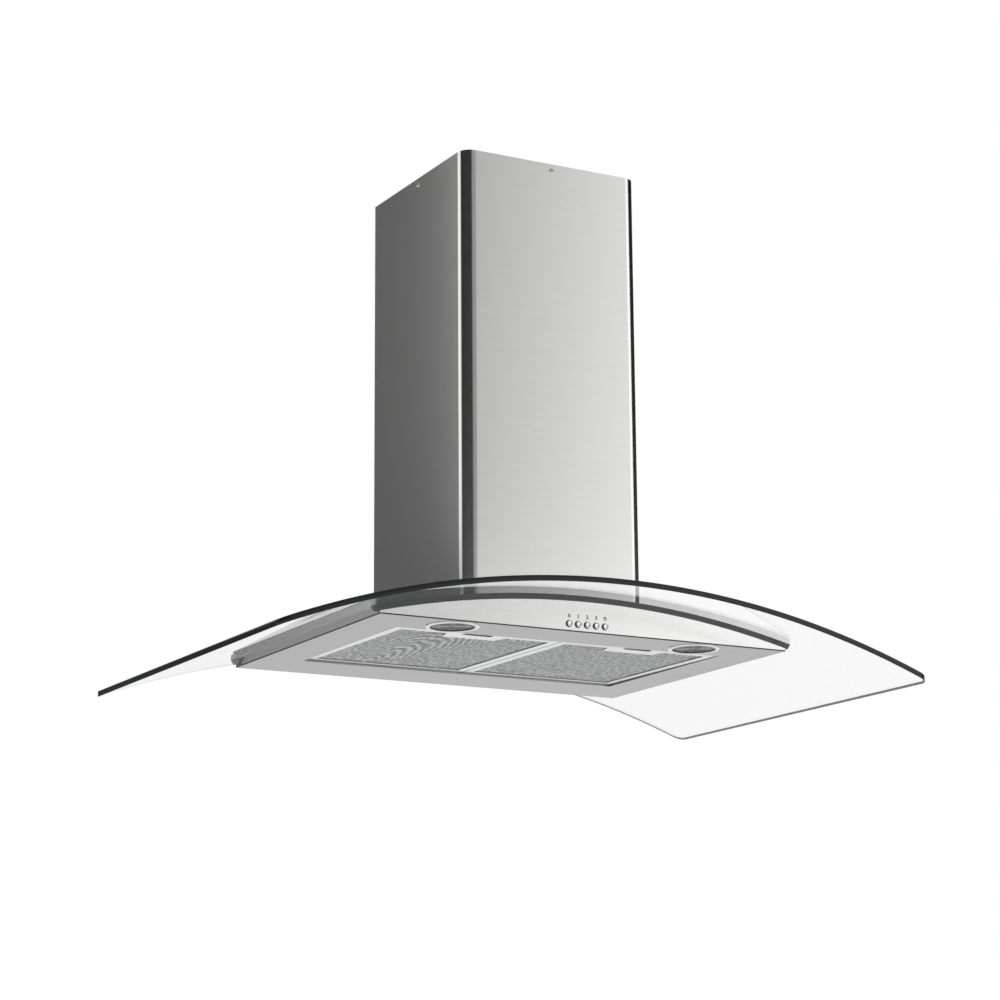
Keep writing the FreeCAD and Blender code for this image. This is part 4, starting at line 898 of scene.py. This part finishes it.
lampCan = {"sides": 56, "shoulder": 0.29, "rim": 0.0246, "lip": 0.0003, "throat": 0.0055, "short": 0.0045,
           "curve": 0.55, "levels": (0, 0.06, 0.14, 0.24, 0.36, 0.5, 0.65, 0.8, 0.92, 1.0), "flutes": 28,
           "fluteDepth": 0.0005, "fluteFrom": 1.2, "fluteTo": 0.99, "sharpAbove": 12}
lampBulb = {"sides": 24, "below": 0.0046, "base": 0.0048, "capsule": 0.0042}
baseOutline = [(0.0, 0.0), (1.0, 0.0), (1.0, 0.0025), (0.7, 0.003), (0.0, 0.003)]
capsuleOutline = [(0.0, 0.003), (0.8, 0.003), (1.0, 0.0045), (1.0, 0.0085), (0.75, 0.0098), (0.3, 0.0106),
                  (0.0, 0.0108)]


def pressFlutes(faces, centre):
    count, depth = 2 * lampCan["flutes"], lampCan["fluteDepth"]
    inner, outer = lampCan["throat"] * lampCan["fluteFrom"], lampCan["rim"] * lampCan["fluteTo"]
    for vert in {vert for face in faces for vert in face.verts}:
        reach = Vector((vert.co.x - centre.x, vert.co.y - centre.y))
        if inner < reach.length < outer:
            turnIndex = round(math.atan2(reach.y, reach.x) / (2 * math.pi) * count)
            if turnIndex % 2:
                vert.co.x -= reach.x / reach.length * depth
                vert.co.y -= reach.y / reach.length * depth


def makeLampCan(side):
    nodeName = "lamp_housing_" + side
    low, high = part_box(nodeName)
    centre = Vector(((low.x + high.x) / 2, (low.y + high.y) / 2, low.z))
    radius, height = (high.x - low.x) / 2, high.z - low.z
    step, sides = height * lampCan["shoulder"], lampCan["sides"]
    rim, throat, lip = lampCan["rim"], lampCan["throat"], lampCan["lip"]
    bowl = [(rim * (1 - t) ** lampCan["curve"] + throat * (1 - (1 - t) ** lampCan["curve"]),
             lip + t * (height - lampCan["short"])) for t in lampCan["levels"]]
    can = bmesh.new()
    outline = [(radius, 0.0), (radius, height - step), (radius - step, height), (0.0, height)]
    turned(can, outline, centre, (0, 0, 1), sides, 0)
    turned(can, [(radius, 0.0), (rim, lip)], centre, (0, 0, 1), sides, 1)
    reflectorPaintedDark = turned(can, bowl + [(0.0, bowl[-1][1])], centre, (0, 0, 1), 2 * lampCan["flutes"], 1)
    pressFlutes(reflectorPaintedDark, centre)
    weld(can, 2e-6)
    finishTurned("lampCan_" + side, can, ["lamp_can", "reflectorPaintedDark"], bodyOf(nodeName), [nodeName],
                 lampCan["sharpAbove"])

    top = height - lampBulb["below"]
    bulb = bmesh.new()
    for index, outline, width in ((1, baseOutline, lampBulb["base"]), (0, capsuleOutline, lampBulb["capsule"])):
        profile = [(width * share, top - drop) for share, drop in outline]
        turned(bulb, profile, centre, (0, 0, 1), lampBulb["sides"], index)
    finishTurned("lampBulb_" + side, bulb, ["frosted", "ceramic"], bodyOf(nodeName))


# Push buttons: bright rim, a fine groove, dished middle, dark body with a collar

buttonShape = {"rimFace": 0.0028, "dish": 0.0006, "round": 0.0004, "sides": 40, "collar": 0.001,
               "collarFrom": 0.0037, "collarTo": 0.0067, "groove": (0.00015, 0.0004, 0.00045), "grooveDepth": 0.0006}


def makeButtons():
    face, dish, bend = buttonShape["rimFace"], buttonShape["dish"], buttonShape["round"]
    start, end, deep = buttonShape["collarFrom"], buttonShape["collarTo"], buttonShape["grooveDepth"]
    inner, outer, lip = (face + width for width in buttonShape["groove"])
    for name in sorted(name for name in nodes if name.startswith("button_")):
        low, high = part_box(name)
        middleX, _, middleZ = middleOf(name)
        wide, length = (high.x - low.x) / 2, high.y - low.y
        cap = wide - buttonShape["collar"]
        corner = (cap - bend * 0.3, bend * 0.3)
        outlines = [
            (1, [corner, (cap, bend), (cap, start), (wide, start), (wide, end), (cap, end), (cap, length),
                 (0.0, length)]),
            (1, [(face, dish * 0.4), (inner, deep), (outer, deep), (lip, 0.0)]),
            (0, [(lip, 0.0), (cap - bend, 0.0), corner]),
            (0, [(0.0, dish), (face * 0.5, dish * 0.92), (face * 0.85, dish * 0.7), (face, dish * 0.4)])]
        shape = bmesh.new()
        for index, outline in outlines:
            turned(shape, outline, (middleX, low.y, middleZ), (0, 1, 0), buttonShape["sides"], index)
        weld(shape)
        finishTurned("push_" + name, shape, ["button_metal", "black_plastic"], bodyOf(name), [name])


# Plain printed marks above the buttons: figures 0 to 3 and a ring for the lamps

buttonMarks = {"figures": ["0", "1", "2", "3"], "height": 0.0046, "above": 0.0078, "bold": 0.00022, "ink": 0.00006,
               "letter": 1.35, "ringInk": 0.00008, "ringHole": 0.5, "ringSides": 28}


def figureMesh(figure):
    curve = bpy.data.curves.new("mark", "FONT")
    curve.body = figure
    curve.size = buttonMarks["height"] * buttonMarks["letter"]
    curve.align_x = "CENTER"
    curve.extrude = buttonMarks["ink"]
    curve.offset = buttonMarks["bold"]
    writing = newPiece("mark", curve)
    bpy.context.view_layer.update()
    mesh = bpy.data.meshes.new_from_object(writing.evaluated_get(bpy.context.evaluated_depsgraph_get()))
    bpy.data.objects.remove(writing)
    return mesh


def printMarks():
    shape = bmesh.new()
    names = sorted(name for name in nodes if name.startswith("button_"))
    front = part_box("front_fascia")[0].y
    standing = Matrix.Rotation(math.pi / 2, 4, "X")
    for name, figure in zip(names, buttonMarks["figures"]):
        x, _, z = middleOf(name)
        place = Matrix.Translation((x, front - buttonMarks["ink"] / 2, z + buttonMarks["above"]))
        mesh = figureMesh(figure)
        mesh.transform(place @ standing)
        shape.from_mesh(mesh)
    x, _, z = middleOf(names[-1])
    half, thick = buttonMarks["height"] / 2, buttonMarks["ringInk"]
    level = z + buttonMarks["above"] + buttonMarks["height"] / 2
    hole = half * buttonMarks["ringHole"]
    turned(shape, [(half, 0.0), (half, thick), (hole, thick), (hole, 0.0)], (x, front, level), (0, -1, 0),
           buttonMarks["ringSides"], closed=True)
    weld(shape, 1e-7)
    finishTurned("buttonMarks", shape, ["ink"], bodyOf("front_fascia"))


# Cross-headed screws near the top of the chimney: skirt and crown as shares of the head's height

coverScrew = {"Head Radius": 0.003, "Head Height": 0.0018, "Slot Width": 0.0008, "Slot Depth": 0.0011}
screwShape = {"sides": 32, "skirt": 0.45, "crown": 0.55, "crownTop": 0.62, "slotLength": 1.1, "shankSides": 16,
              "shank": 0.0014, "shankEnd": 0.0055, "tip": 0.4, "tipEnd": 0.006, "turn": 0.5, "sharpAbove": 30}


def screwTree(material):
    tree, given, out = newTree("screwTree", coverScrew)
    radius, height, width, depth = given.outputs[:4]
    sides = screwShape["sides"]
    skirtHeight = doMath(tree, "MULTIPLY", height, screwShape["skirt"])
    skirt = addNode(tree, "GeometryNodeMeshCylinder", {"Vertices": sides, "Radius": radius, "Depth": skirtHeight})
    crown = addNode(tree, "GeometryNodeMeshCone", {
        "Vertices": sides, "Side Segments": 1, "Radius Bottom": radius,
        "Radius Top": doMath(tree, "MULTIPLY", radius, screwShape["crownTop"]),
        "Depth": doMath(tree, "MULTIPLY", height, screwShape["crown"])})
    head = addNode(tree, "GeometryNodeMeshBoolean", operation="UNION")
    skirtUp = moved(tree, skirt.outputs[0], z=doMath(tree, "MULTIPLY", skirtHeight, 0.5))
    for part in (skirtUp, moved(tree, crown.outputs[0], z=skirtHeight)):
        tree.links.new(part, head.inputs[1])
    cut = addNode(tree, "GeometryNodeMeshBoolean", operation="DIFFERENCE")
    tree.links.new(head.outputs[0], cut.inputs[0])
    length = doMath(tree, "MULTIPLY", radius, screwShape["slotLength"])
    tall = doMath(tree, "MULTIPLY", depth, 2.0)
    for along, across in ((length, width), (width, length)):
        bar = addNode(tree, "GeometryNodeMeshCube", {"Size": vectorNode(tree, along, across, tall)})
        tree.links.new(moved(tree, bar.outputs[0], z=height), cut.inputs[1])
    paintOut(tree, cut.outputs[0], material, out)
    return tree


def makeCoverScrews():
    low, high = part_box("chimney_screws")
    seat = Vector((0, low.y + coverScrew["Head Height"], (low.z + high.z) / 2))
    head = growTree("screwHead", screwTree(materials["fasteners"]), coverScrew)
    shank, tip = screwShape["shank"], screwShape["shank"] * screwShape["tip"]
    outline = [(0.0, 0.0), (shank, 0.0), (shank, screwShape["shankEnd"]), (tip, screwShape["tipEnd"]),
               (0.0, screwShape["tipEnd"])]
    shape = bmesh.new()
    for i in range(4):
        quarter = Matrix.Rotation(i * math.pi / 2, 4, "Z")
        facing = quarter @ Matrix.Translation(seat) @ Matrix.Rotation(math.pi / 2, 4, "X")
        copy = head.data.copy()
        copy.transform(facing @ Matrix.Rotation(screwShape["turn"] + i, 4, "Z"))
        shape.from_mesh(copy)
        turn = quarter.to_3x3()
        turned(shape, outline, turn @ seat, turn @ Vector((0, 1, 0)), screwShape["shankSides"])
    bpy.data.objects.remove(head)
    finishTurned("coverScrews", shape, ["fasteners"], bodyOf("chimney_screws"),
                 ["chimney_screws"], screwShape["sharpAbove"])


slots = {name: slotOf(name) for name in nodes}
addCamera()
paintRoom()
layFloor()
hangCards()
addSoftLamps()
print("stage: camera, room, floor, cards and lamps")
materials = mixMaterials()
coatNodes()
print("materials:", len(materials))
makeGlass()
print("glass bent")
easeEdges()
print("edges eased")
makeFilterNets()
for side in ("left", "right"):
    makeLampRing(side)
    makeLampCan(side)
makeButtons()
printMarks()
makeCoverScrews()
print("nets, lamps, buttons, marks and screws made")
